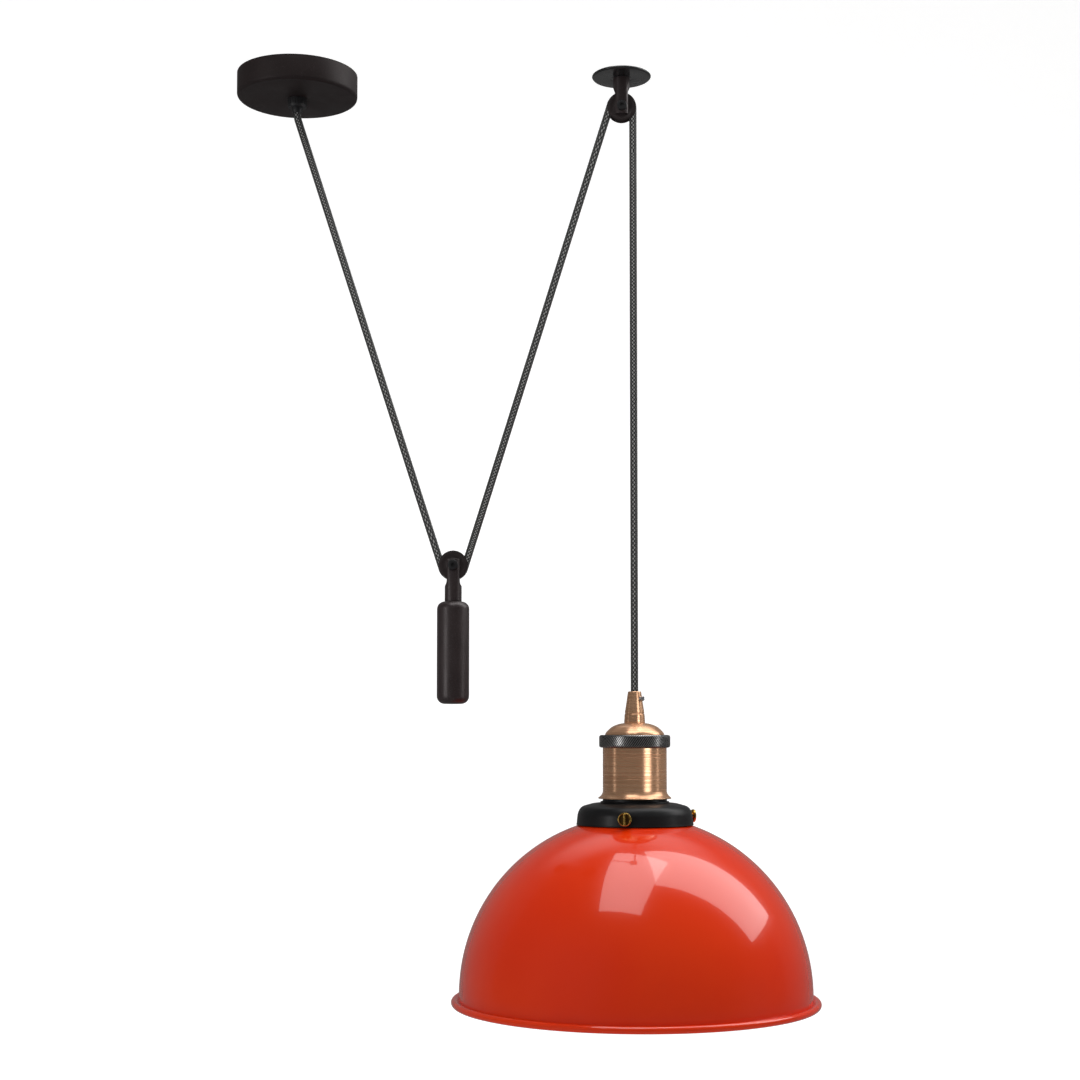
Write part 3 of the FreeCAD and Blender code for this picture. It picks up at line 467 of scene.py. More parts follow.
def rod(radius, start, end, steps=48, chamfer=0.0):
    """A solid cylinder in mm along local Z, with chamfered ends."""
    c = chamfer
    side = [(radius, start), (radius, end)]
    if c:
        side = [(radius - c, start), (radius, start + c), (radius, end - c), (radius - c, end)]
    return lathe(outline((0, start), *side, (0, end)), steps, closed=False)


def slab(size, at, bevel=0.0):
    """A box in mm with bevelled edges, its middle at a point."""
    bm = bmesh.new()
    bmesh.ops.create_cube(bm, size=1.0)
    bmesh.ops.scale(bm, vec=Vector(size) * MM, verts=bm.verts)
    if bevel:
        bmesh.ops.bevel(
            bm, geom=bm.edges, offset=bevel * MM, segments=3, profile=0.5, affect="EDGES", material=-1
        )
    bmesh.ops.translate(bm, vec=Vector(at) * MM, verts=bm.verts)
    return bm


def hexagon(flats, start, end, chamfer=0.4):
    """A hexagon bar in mm along local Z with its corners chamfered."""
    bm = bmesh.new()
    bmesh.ops.create_cone(
        bm, cap_ends=True, segments=6, radius1=flats / math.sqrt(3) * MM,
        radius2=flats / math.sqrt(3) * MM, depth=(end - start) * MM,
    )
    bmesh.ops.translate(bm, vec=(0, 0, (start + end) / 2 * MM), verts=bm.verts)
    if chamfer:
        bmesh.ops.bevel(
            bm, geom=bm.edges, offset=chamfer * MM, segments=2, profile=0.5, affect="EDGES", material=-1
        )
    return bm


def moved(bm, place, rotation=None):
    if rotation is not None:
        bmesh.ops.rotate(bm, cent=(0, 0, 0), matrix=rotation, verts=bm.verts)
    bmesh.ops.translate(bm, vec=place, verts=bm.verts)
    return bm


def joined(*parts):
    """Several closed forms in one mesh."""
    whole = bmesh.new()
    for part in parts:
        shell = bpy.data.meshes.new("part")
        part.to_mesh(shell)
        part.free()
        whole.from_mesh(shell)
        bpy.data.meshes.remove(shell)
    return whole


def bare(bm, name):
    mesh = bpy.data.meshes.new(name)
    bm.to_mesh(mesh)
    bm.free()
    obj = bpy.data.objects.new(name, mesh)
    bpy.context.scene.collection.objects.link(obj)
    return obj


def carved(bm, *tools, operation="DIFFERENCE"):
    """The first form with the others cut away."""
    obj = bare(bm, "carved")
    cutters = [bare(tool, "cutter") for tool in tools]
    for cutter in cutters:
        cut = obj.modifiers.new("cut", "BOOLEAN")
        cut.operation = operation
        cut.solver = "EXACT"
        cut.object = cutter
    graph = bpy.context.evaluated_depsgraph_get()
    mesh = bpy.data.meshes.new_from_object(obj.evaluated_get(graph))
    result = bmesh.new()
    result.from_mesh(mesh)
    bmesh.ops.remove_doubles(result, verts=result.verts, dist=1e-7)
    for leftover in [obj] + cutters:
        old = leftover.data
        bpy.data.objects.remove(leftover)
        bpy.data.meshes.remove(old)
    bpy.data.meshes.remove(mesh)
    return result


def soften(bm, width, angle=35):
    """Bevels the edges that turn more sharply than an angle."""
    sharp = [e for e in bm.edges if e.is_manifold and e.calc_face_angle(0) > math.radians(angle)]
    bmesh.ops.bevel(
        bm, geom=sharp, offset=width * MM, segments=2, profile=0.5, affect="EDGES",
        clamp_overlap=True, material=-1,
    )
    return bm


def lit_group(title):
    """Pieces with strips of light of their own, which leave no mark on the shade."""
    return bpy.data.collections.get(title) or bpy.data.collections.new(title)


def piece(name, bm, finishes, body, node, angle=38):
    """Finishes a mesh as a piece: smooth shading, materials, body and the node it stands for."""
    obj = bare(bm, name)
    mesh = obj.data
    mesh.polygons.foreach_set("use_smooth", [True] * len(mesh.polygons))
    mesh.set_sharp_from_angle(angle=math.radians(angle))
    for key in [finishes] if isinstance(finishes, str) else finishes:
        mesh.materials.append(FINISH[key])
    if "enamel" not in finishes:
        lit_group("Copper pieces" if finishes == "copper" else "Dark pieces").objects.link(obj)
    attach(obj, body)
    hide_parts(node)


def turned(name, corners, steps, finish, node, body="lamp", at=None, solid=False):
    """Makes a piece straight from the outline that is turned for it."""
    bm = lathe(outline(*corners), steps, closed=not solid)
    piece(name, moved(bm, LAMP if at is None else at), finish, body, node)


def outwards(azimuth):
    """Local Z turned level to an azimuth in degrees, with local X upright."""
    return Matrix.Rotation(math.radians(azimuth), 3, "Z") @ ACROSS


def ring_of(radius, count):
    """Points spaced evenly round a circle in mm."""
    turns = (2 * math.pi * k / count for k in range(count))
    return [Vector((radius * MM * math.cos(a), radius * MM * math.sin(a), 0)) for a in turns]


# ------------------------------------------------------------------- operators


# where the two grub screws hold the rose's cover on its bracket, and their holes' radius in mm
SCREW_LEVEL = Vector((0, 0, -8 * MM))
SCREW_HOLE = 1.6
BRACKET_SHEET = 1.6
EARTH_SCREW_X = -14


class PENDANT_OT_rose(bpy.types.Operator):
    """Build the ceiling rose with its bracket, terminals and gland"""

    bl_idname = "pendant.rose"
    bl_label = "Ceiling Rose"

    def execute(self, context):
        height = -low("rose_cover").z / MM
        radius = high("gland_collar").x / MM
        entry, wide, wall = 5.2, 50, 1.5
        cup = lathe(outline(
            (entry, -height, 0.3), (wide, -height, 3.0), (wide, 0, 0.35), (wide - wall, 0, 0.35),
            (wide - wall, wall - height, 1.6), (entry, wall - height),
        ), 192)
        holes = moved(rod(SCREW_HOLE, -52, 52), SCREW_LEVEL, ACROSS)
        piece("rose_cover_shell", carved(cup, holes), "rose", "ceiling", "rose_cover")
        screws = []
        for side in (-1, 1):
            screw = carved(rod(1.5, 45, 49.8, 32, 0.2), slab((0.5, 4, 1.2), (0, 0, 50)))
            turn = Matrix.Rotation(math.radians(90 * side), 3, "Y")
            screws.append(moved(screw, SCREW_LEVEL, turn))
        piece("rose_grub_screw_pair", joined(*screws), "zinc", "ceiling", "rose_grub_screws")
        self.bracket()
        self.terminals()
        self.gland(radius)
        return {"FINISHED"}

    def bracket(self):
        reach = high("rose_bracket").x / MM
        drop = -low("rose_bracket").z / MM
        strip = bracket_strip(reach, drop)
        tools = []
        # two slots, each with round ends, and the earth screw's hole
        half_slot, slot_radius, level = 3.2, 2.3, -BRACKET_SHEET / 2
        for x in (-30, 30):
            tools.append(slab((2 * half_slot, 2 * slot_radius, 6), (x, 0, level)))
            for end in (-half_slot, half_slot):
                tools.append(moved(rod(slot_radius, -3, 3, 32), Vector((x + end, 0, level)) * MM))
        tools.append(moved(rod(2.1, -3, 3, 32), Vector((EARTH_SCREW_X, 0, level)) * MM))
        tools.append(moved(rod(SCREW_HOLE, -60, 60, 32), SCREW_LEVEL, ACROSS))
        bracket = soften(carved(strip, *tools), 0.25)
        piece("rose_bracket_strip", bracket, "zinc", "ceiling", "rose_bracket")
        head = lathe(outline(
            (0, -4.2), (2.6, -4.2, 0.8), (3.75, -3.2, 0.6), (3.75, -1.6), (2.0, -1.6), (2.0, 0), (0, 0)
        ), 48, closed=False)
        groove = slab((7.2, 0.8, 1.6), (0, 0, -4.2))
        cross = slab((0.8, 7.2, 1.6), (0, 0, -4.2))
        screw = moved(carved(head, groove, cross), Vector((EARTH_SCREW_X, 0, 0)) * MM)
        piece("earth_screw", screw, "zinc", "ceiling", "rose_earth_screw")

    def terminals(self):
        box_low, box_high = low("rose_terminal_block") / MM, high("rose_terminal_block") / MM
        middle = (box_low + box_high) / 2
        size = box_high - box_low
        body = slab(size, middle, 0.5)
        ways, ends = (-7, 0, 7), (-3.5, 3.5)
        tools = []
        for way in ways:
            tools.append(moved(rod(1.5, -3, 3, 24), Vector((box_low.x, way, middle.z)) * MM, ACROSS))
            if way:
                tools.append(slab((size.x + 2, 0.8, 2.4), (middle.x, way / 2, box_low.z)))
            for end in ends:
                place = Vector((middle.x + end, way, box_low.z)) * MM
                tools.append(moved(rod(1.95, -1.2, 1.2, 24), place))
        block = carved(body, *tools)
        piece(
            "terminal_block", block, "white_plastic", "ceiling", "rose_terminal_block"
        )
        heads = []
        for way in ways:
            for end in ends:
                head = carved(rod(1.7, -1.0, 0.9, 24, 0.2), slab((4, 0.5, 1.0), (0, 0, -1.0)))
                heads.append(moved(head, Vector((middle.x + end, way, box_low.z)) * MM))
        piece("terminal_screws", joined(*heads), "brass", "ceiling", "rose_terminal_screws")

    def gland(self, radius):
        under = low("rose_cover").z / MM
        grip = low("gland_body").z / MM
        body = lathe(outline(
            (3.35, under + 5.8), (5.0, under + 5.8, 0.3), (5.0, under), (8.0, under, 0.2),
            (8.0, grip + 2.2, 0.6), (7.3, grip, 0.6), (3.35, grip, 0.2),
        ), 96)
        ribs = [moved(rod(0.55, grip + 1.5, under - 1.2, 12), place) for place in ring_of(8.15, 20)]
        piece("gland", carved(body, *ribs), "plastic", "ceiling", "gland_body")
        end = low("gland_collar").z / MM
        turned("gland_collar_cone", (
            (3.35, grip), (radius, grip), (radius, end + 2.2, 0.8), (radius - 0.7, end, 0.5),
            (3.35, end, 0.15),
        ), 64, "plastic", "gland_collar", "ceiling", ORIGIN)
        nut = lock_nut(*levels("gland_lock_nut"))
        piece("gland_nut", nut, "plastic", "ceiling", "gland_lock_nut")


def lock_nut(bottom, top):
    """A hexagon nut of 14 mm for an M10 thread."""
    return carved(hexagon(14, bottom, top), rod(5.05, bottom - 1, top + 1))


def bracket_strip(reach, drop):
    """The rose's strip with its two ears bent down."""
    width, half = 12, BRACKET_SHEET / 2
    bar = slab((2 * reach, width, BRACKET_SHEET), (0, 0, -half))
    ears = [
        slab((BRACKET_SHEET, width, drop), (side * (reach - half), 0, -drop / 2)) for side in (-1, 1)
    ]
    return carved(bar, *ears, operation="UNION")


# radius in mm of the hole that an axle bolt passes through
AXLE_BORE = 2.06


def fork_form(stem, arm_end, thread, depth):
    """A round bar, slotted for the wheel, upright, with its axle at the origin."""
    gap, slot_top, seat_radius, seat, beyond = 9.2, 12.8, 4.6, 6.0, 12
    bar = lathe(outline((0, -arm_end), (7, -arm_end, 0.4), (7, stem, 0.5), (0, stem)), 96, closed=False)
    slot = slab((2 * beyond, gap, slot_top + arm_end + 1), (0, 0, (slot_top - arm_end - 1) / 2))
    slot_end = moved(rod(gap / 2, -beyond, beyond), Vector((0, 0, slot_top * MM)), ACROSS)
    bore = moved(rod(AXLE_BORE, -beyond, beyond, 32), ORIGIN, AXLE_TURN)
    front_seat = moved(rod(seat_radius, seat, beyond), ORIGIN, AXLE_TURN)
    back_seat = moved(rod(seat_radius, -beyond, -seat), ORIGIN, AXLE_TURN)
    hole = rod(thread, stem - depth, stem + 1, 32)
    form = carved(bar, slot, slot_end, bore, front_seat, back_seat, hole)
    return soften(form, 0.22, 42)


def wheel_form():
    """A grooved wheel about local Z."""
    groove_middle, groove_radius = 9.5, 3.4
    groove = arc((groove_middle, 0), groove_radius, 270, 90, 24)
    side = [
        (AXLE_BORE, 4), (5.2, 4), (5.6, 3.7), (8.6, 3.7), (9.2, 4), (10.9, 4), (12, 3.65),
        (11.55, 3.42),
    ]
    below = outline(*((radius, -half) for radius, half in side))
    return lathe(below + groove + outline(*reversed(side)), 96)


def axle_forms():
    """Bolt, nut and spacers of a wheel about local Z, its head at +Z."""
    bolt = lathe(outline(
        (0, -8.6), (1.6, -8.6), (2.0, -8.2), (2.0, 6.0), (4.3, 6.0, 0.2), (4.3, 8.2, 0.9), (0, 8.2)
    ), 64, closed=False)
    bolt = carved(bolt, hexagon(3.2, 6.9, 9, 0))
    nut = carved(hexagon(7.4, -8.2, -6.0, 0.35), rod(AXLE_BORE, -9, -5, 32))
    spacers = []
    for near in (4.1, -4.6):
        far = near + 0.5
        corners = ((AXLE_BORE, near), (3.6, near, 0.1), (3.6, far, 0.1), (AXLE_BORE, far))
        spacers.append(lathe(outline(*corners), 48))
    return bolt, nut, joined(*spacers)


class PENDANT_OT_pulleys(bpy.types.Operator):
    """Build the ceiling pulley and the travelling pulley"""

    bl_idname = "pendant.pulleys"
    bl_label = "Pulleys"

    def execute(self, context):
        turned("ceiling_disc", (
            (3.2, 0), (23.8, 0, 0.4), (25, -1.1, 0.9), (23.6, -2.6, 0.5), (9.5, -2.6, 0.3),
            (9.1, -2.35), (8.4, -2.35), (8.0, -2.6), (3.2, -2.6),
        ), 160, "gloss_black", "ceiling_plate", "ceiling", Vector((CEILING_AXLE.x, 0, 0)))
        stem = (low("ceiling_plate").z - CEILING_AXLE.z) / MM
        arm_end = (CEILING_AXLE.z - low("ceiling_fork").z) / MM
        self.pulley("ceiling", "ceiling", CEILING_AXLE, fork_form(stem, arm_end, 3.0, 6.0))
        stem = (TRAVEL_AXLE.z - low("travel_fork").z) / MM
        arm_end = (high("travel_fork").z - TRAVEL_AXLE.z) / MM
        upside_down = Matrix.Rotation(math.radians(180), 3, "X")
        fork = moved(fork_form(stem, arm_end, 3.05, 10.0), ORIGIN, upside_down)
        self.pulley("travel", "weight", TRAVEL_AXLE, fork)
        return {"FINISHED"}

    def pulley(self, prefix, body, axle, fork):
        axle = Vector((axle.x, 0, axle.z))
        piece(f"{prefix}_fork_bar", moved(fork, axle), "bronze", body, f"{prefix}_fork")
        wheel = f"{prefix}_wheel"
        piece(f"{prefix}_sheave", moved(wheel_form(), axle, AXLE_TURN), "wheel", wheel, wheel)
        bolt, nut, spacers = axle_forms()
        for title, form, finish, slot in (
            ("axle_bolt", bolt, "plastic", "black_steel"),
            ("axle_nut", nut, "plastic", "black_steel"),
            ("spacers", spacers, "zinc", "zinc_steel"),
        ):
            placed = moved(form, axle, AXLE_TURN)
            piece(f"{prefix}_{title}_detail", placed, finish, body, f"{prefix}_{title}")


class PENDANT_OT_weight(bpy.types.Operator):
    """Build the turned weight and the bolt in its foot"""

    bl_idname = "pendant.weight"
    bl_label = "Weight"

    def execute(self, context):
        at = Vector((TRAVEL_AXLE.x, 0, high("weight_casing").z))
        foot = -(high("weight_casing").z - low("weight_casing").z) / MM
        recess = foot + 6.8
        turned("weight_body", (
            (3.2, 0), (7.0, 0, 0.2), (13.3, 0, 6.2), (13.3, foot, 6.4), (5.8, foot, 0.35),
            (5.8, recess), (3.2, recess),
        ), 160, "bronze", "weight_casing", "weight", at)
        bolt = lathe(outline(
            (0, 9), (2.6, 9), (3.0, 8.6), (3.0, recess), (5.0, recess, 0.2),
            (5.0, recess - 6, 0.6), (0, recess - 6),
        ), 64, closed=False)
        bolt = carved(bolt, hexagon(5.0, recess - 7, recess - 3, 0))
        piece("weight_screw", moved(bolt, at), "plastic", "weight", "weight_bolt")
        return {"FINISHED"}


class PENDANT_OT_grip(bpy.types.Operator):
    """Build the copper cord grip, its set screw, nipple and nut"""

    bl_idname = "pendant.grip"
    bl_label = "Cord Grip"

    azimuth = -38

    def execute(self, context):
        at = LAMP + UP * high("cord_grip").z
        form = lathe(outline(
            (3.35, 0, 0.3), (5.4, 0, 0.9), (6.3, -6.5, 40), (8.0, -17.4, 0.3), (7.75, -17.9),
            (7.75, -18.4), (8.2, -18.9, 0.25), (8.6, -25.4, 0.3), (8.5, -26), (5.05, -26), (5.05, -18),
            (3.35, -18),
        ), 128)
        turn = outwards(self.azimuth)
        level = Vector((0, 0, -6 * MM))
        hole = moved(rod(2.05, 0, 12, 40), level, turn)
        piece("grip_cone", moved(carved(form, hole), at), "copper", "lamp", "cord_grip")
        screw = carved(rod(2.0, 3.4, 9.0, 40, 0.35), slab((0.55, 5, 1.6), (0, 0, 9.0)))
        screw = moved(moved(screw, level, turn), at)
        piece("set_screw", screw, "zinc", "lamp", "grip_set_screw")
        corners = threaded(3.35, 5.0, *levels("grip_nipple"), 1.0, 0.35)
        turned("nipple", corners, 64, "zinc", "grip_nipple")
        nut = moved(lock_nut(*levels("nipple_lock_nut")), LAMP)
        piece("nipple_nut", nut, "zinc", "lamp", "nipple_lock_nut")
        return {"FINISHED"}


def threaded(bore, radius, start, end, pitch, depth):
    """The corners of a tube in mm with thread ridges along its outside."""
    count = int((end - start - 0.6) / pitch)
    points = [(bore, start), (radius - depth, start)]
    for k in range(count):
        base = start + 0.3 + k * pitch
        points += [
            (radius - depth, base), (radius, base + 0.4 * pitch), (radius, base + 0.6 * pitch)
        ]
    points += [(radius - depth, start + 0.3 + count * pitch), (radius - depth, end), (bore, end)]
    return points


class PENDANT_OT_holder(bpy.types.Operator):
    """Build the copper cap, the body, the flared collar and the knurled ring"""

    bl_idname = "pendant.holder"
    bl_label = "Lamp Holder"

    def execute(self, context):
        sizes = context.scene.pendant_sizes
        cap_end, cap_top = levels("holder_cap")
        ring_low, ring_top = levels("knurled_ring")
        body_low, neck_top = levels("holder_body")
        turned("cap_dome", (
            (5.15, cap_top), (8.6, cap_top), (12.2, cap_top - 0.5, 6), (18.4, cap_top - 2.6, 12),
            (24.5, cap_top - 8.4, 6), (24.5, cap_end), (23, cap_end), (23, cap_top - 9.4, 5),
            (17.4, cap_top - 4.2, 10), (12, cap_top - 2.0, 5), (8.6, cap_top - 1.5),
            (5.15, cap_top - 1.5),
        ), 160, "copper", "holder_cap")
        turned("body_tube", (
            (23.1, neck_top), (24.3, neck_top), (24.5, neck_top - 0.2), (24.5, ring_low),
            (26.0, ring_low), (26.2, ring_low - 0.25), *self.scored(26.2, ring_low, (5.4, 7.8, 23.5, 25.2)),
            (26.2, body_low + 0.25), (26.0, body_low), (24.8, body_low), (24.8, ring_low - 1.4),
            (23.1, ring_low - 1.4),
        ), 192, "copper", "holder_body")
        flare_low = low("holder_flare").z / MM
        turned("flare_collar", (
            (22.4, body_low), (26.15, body_low, 0.15), (26.2, body_low - 0.3),
            (26.6, flare_low + 3.2, 7.0), (30, flare_low + 0.7, 0.4), (30, flare_low, 0.3),
            (28.8, flare_low, 0.1), (25.9, flare_low + 3.2, 6.0), (25.0, body_low - 1.2),
            (22.4, body_low - 1.2),
        ), 192, "copper", "holder_flare")
        ring = self.knurled(sizes, ring_low, ring_top)
        piece("knurled_collar", moved(ring, LAMP), "gunmetal", "lamp", "knurled_ring", 24)
        return {"FINISHED"}

    def scored(self, radius, top, drops):
        """Outline corners of fine lines cut round a tube, each at a drop below its top."""
        half, depth = 0.16, 0.14
        return [
            (radius - d, top - drop + h) for drop in drops for d, h in ((0, half), (depth, 0), (0, -half))
        ]

    def knurled(self, sizes, bottom, top):
        """A ring with rounded edges whose outside is cut into diamonds."""
        radius, edge, rows, turns = 29.2, 1.8, 5, 3
        crown = radius - edge
        band = arc((crown, bottom + edge), edge, -90, 0, turns)
        rise = top - bottom - 2 * edge
        band += outline(*((radius, bottom + edge + rise * k / rows) for k in range(1, rows)))
        band += arc((crown, top - edge), edge, 0, 90, turns)
        bm = lathe(outline((24.7, top), (24.7, bottom)) + band, 2 * sizes.knurl_cells)
        row_of = {round(point.y, 6): k for k, point in enumerate(band)}
        step = math.pi / sizes.knurl_cells
        peak = bm.verts.layers.float.new("peak")
        for vert in bm.verts:
            reach = math.hypot(vert.co.x, vert.co.y)
            row = row_of.get(round(vert.co.z, 6))
            if row in (None, 0, len(band) - 1) or reach < crown * MM:
                continue
            column = round(math.atan2(vert.co.y, vert.co.x) / step)
            vert[peak] = 1.0
            if (column + row) % 2:
                vert.co.x *= 1 - sizes.knurl_depth / reach
                vert.co.y *= 1 - sizes.knurl_depth / reach
                vert[peak] = 0.0
        return bm


class PENDANT_OT_socket(bpy.types.Operator):
    """Build the porcelain insulator, the screw shell and the sleeve"""

    bl_idname = "pendant.socket"
    bl_label = "Lamp Socket"

    def execute(self, context):
        under, top = levels("insulator")
        turned("insulator_block", (
            (0, under + 4.2), (3.7, under + 4.2), (3.7, under), (16, under), (22.6, under, 0.8),
            (22.6, under + 9, 0.4), (21.4, under + 10), (21.4, top, 0.8), (5, top, 0.3), (4, top - 1.2),
            (0, top - 1.2),
        ), 128, "porcelain", "insulator", solid=True)
        heads = []
        end = top + 2.2
        for angle in (90, 210, 330):
            a = math.radians(angle)
            head = carved(rod(2.0, top, end, 32, 0.3), slab((5, 0.6, 1.4), (0, 0, end)))
            heads.append(moved(head, LAMP + Vector((math.cos(a), math.sin(a), 0)) * 14 * MM))
        piece("socket_terminals", joined(*heads), "brass", "lamp", "lamp_terminal_screws")
        pitch = context.scene.pendant_sizes.thread_pitch / MM
        shell = self.round_thread(*levels("screw_shell"), pitch)
        piece("thread_shell", moved(shell, LAMP), "brass", "lamp", "screw_shell")
        contact_low, contact_high = levels("centre_contact")
        turned("contact_button", (
            (0, contact_low), (2.2, contact_low, 0.8), (2.6, contact_low + 1.6),
            (3.5, contact_low + 2.2, 0.2), (3.5, contact_high), (0, contact_high),
        ), 48, "brass", "centre_contact", solid=True)
        corners = threaded(17.6, 19.9, *levels("socket_sleeve"), 2.2, 0.5)
        turned("sleeve", corners, 128, "plastic", "socket_sleeve")
        return {"FINISHED"}

    def round_thread(self, bottom, top, pitch):
        """A thin shell pressed into the round lamp thread."""
        outer_radius, inner_radius, swing, spacing = 13.62, 13.38, 0.12, 0.3
        count = round((top - bottom) / spacing)
        heights = [bottom + (top - bottom) * k / count for k in range(count + 1)]
        wave = [swing * math.cos(2 * math.pi * (z - bottom) / pitch) for z in heights]
        outer = [Vector((outer_radius + w, z, 0)) * MM for w, z in zip(wave, heights)]
        inner = [Vector((inner_radius + w, z, 0)) * MM for w, z in zip(wave, heights)]
        return lathe(outer + inner[::-1], 96)


class PENDANT_OT_gallery(bpy.types.Operator):
    """Build the black gallery, its neck ring and its lock ring"""

    bl_idname = "pendant.gallery"
    bl_label = "Gallery"

    def execute(self, context):
        bottom, top = levels("gallery")
        bell = lathe(outline(
            (20.1, top), (27.9, top, 0.35), (28.5, top - 1.0, 0.4), (34.5, top - 1.6, 8),
            (44.6, top - 4.4, 7), (46.9, top - 10.2, 8), (47.75, bottom + 1.1, 0.4),
            (47.9, bottom + 0.75), (47.9, bottom, 0.35), (46.4, bottom, 0.3), (45.5, top - 10, 7),
            (43.4, top - 6.0, 5), (34.0, top - 3.2, 7), (28, top - 1.55), (20.1, top - 1.5),
        ), 192)
        level = centre("thumb_screw_front").z / MM
        holes = [
            moved(rod(2.1, 20, 60, 32), Vector((0, 0, level * MM)), outwards(azimuth))
            for azimuth in PENDANT_OT_thumb_screws.azimuths.values()
        ]
        bell = moved(carved(bell, *holes), LAMP)
        piece("gallery_bell", bell, "black", "lamp", "gallery")
        neck_low, neck_high = levels("neck_ring")
        shoulder = neck_low + 2.2
        turned("neck_collar", (
            (20.1, neck_high), (23.2, neck_high, 0.3), (23.2, shoulder), (26.3, shoulder, 0.5),
            (26.3, neck_low), (20.1, neck_low),
        ), 128, "black", "neck_ring")
        ring_low, ring_high = levels("gallery_lock_ring")
        ring = lathe(outline(
            (20.1, ring_low, 0.4), (27, ring_low, 0.8), (27, ring_high, 0.3), (20.1, ring_high)
        ), 128)
        notches = [moved(rod(1.3, ring_low - 1, ring_high + 1, 16), place) for place in ring_of(27, 12)]
        ring = moved(carved(ring, *notches), LAMP)
        piece("lock_ring", ring, "plastic", "lamp", "gallery_lock_ring")
        return {"FINISHED"}


class PENDANT_OT_thumb_screws(bpy.types.Operator):
    """Build the three brass thumb screws"""

    bl_idname = "pendant.thumb_screws"
    bl_label = "Thumb Screws"

    azimuths = {"front": -102, "right": 18, "left": 138}

    def execute(self, context):
        for side, azimuth in self.azimuths.items():
            level = centre(f"thumb_screw_{side}").z
            tip, seat = 43.3, 48.0
            stem = lathe(outline(
                (0, tip), (1.5, tip), (2.0, tip + 0.5), (2.0, seat), (4.2, seat, 0.25),
                (4.2, seat + 0.8, 0.25), (2.6, seat + 1.2, 0.4), (2.6, seat + 2.0, 0.4),
                (5.0, seat + 2.5, 0.2), (5.4, seat + 3.0, 0.3), (5.4, seat + 4.3, 0.4),
                (4.4, seat + 4.3, 0.2), (4.0, seat + 3.1), (0, seat + 3.1),
            ), 64, closed=False)
            # the floor of the recess in the head takes the darker brass: painted shade
            for face in stem.faces:
                middle = face.calc_center_median() / MM
                if middle.z > seat + 3.0 and math.hypot(middle.x, middle.y) < 4.1:
                    face.material_index = 1
            blade = slab((9.6, 1.4, 2.5), (0, 0, seat + 4.3), 0.35)
            form = moved(joined(stem, blade), LAMP + UP * level, outwards(azimuth))
            finishes = ("brass", "shaded_brass")
            piece(f"thumb_{side}_detail", form, finishes, f"thumb_{side}", f"thumb_screw_{side}")
        return {"FINISHED"}


class PENDANT_OT_shade(bpy.types.Operator):
    """Build the enamelled dome shade with its rolled rim"""

    bl_idname = "pendant.shade"
    bl_label = "Shade"

    def execute(self, context):
        gallery_low = low("gallery").z / MM
        wide, outer, sheet, roll = 150, 143.6, 1.0, 2.85
        inner = outer - sheet
        # the neck's two radii, and where the gallery's edge rests on the dome
        neck, neck_inside, gallery_edge = 43.2, 42.2, 46.4
        middle = gallery_low - 0.3 - math.sqrt(outer**2 - gallery_edge**2)
        edge, neck_top = levels("shade")
        rim = edge + roll
        start = math.degrees(math.acos(neck / outer))
        inner_start = math.degrees(math.acos(neck_inside / inner))
        roll_middle = wide - roll
        points = outline(
            (neck_inside, neck_top), (44.6, neck_top, 0.5), (44.6, neck_top - 1.4, 0.5),
            (neck, neck_top - 1.5),
        )
        points += arc((0, middle), outer, start, 0, 72)
        points += outline((outer, rim + 2.2), (outer + 0.25, rim + 1.2), (outer + 0.7, rim + 0.6))
        points += arc((roll_middle, rim), roll, 165, -118, 30)
        points += outline((inner + 0.9, rim - 1.9), (inner + 0.2, rim - 1.1), (inner, rim))
        points += arc((0, middle), inner, 0, inner_start, 72)
        bm = lathe(points, 288)
        for face in bm.faces:
            face.material_index = 1 if self.faces_inside(face, middle, rim) else 0
        moved(bm, LAMP)
        piece("shade_shell", bm, ("enamel", "lining"), "lamp", "shade", 60)
        return {"FINISHED"}

    def faces_inside(self, face, middle, rim):
        """Whether a face of the lathed shade belongs to its lining."""
        at = face.calc_center_median() / MM
        inward = face.normal.x * at.x + face.normal.y * at.y + face.normal.z * (at.z - middle) < 0
        return inward and math.hypot(at.x, at.y) < 143.2 and at.z > rim - 2.0


# the route of the cord's middle line, in mm: down from the rose, under the travelling
# wheel, up and over the ceiling wheel
STRANDS = [
    (0, -13.6), (0, -24), (0, -35.75), (1.85, -41.46), (11.38, -70.95),
    (111.08, -379.42), (121.50, -411.67), (123.41, -417.57), (128.44, -421.22), (134.65, -421.18),
    (139.65, -417.49), (141.50, -411.57), (151.58, -379.21),
    (251.13, -59.97), (261.33, -27.23), (263.18, -21.31), (269.15, -17.58), (276.11, -18.64),
    (280.70, -23.98), (280.70, -27.5),
]
# off the ceiling wheel, where the cord bends as the lamp swings, and straight down from there
NECK = [(280.70, -27.5), (280.70, -38), (280.70, -52), (280.70, -66)]
DROP = [(280.70, -66), (280.70, -100), (280.70, -480), (280.70, -549.6)]


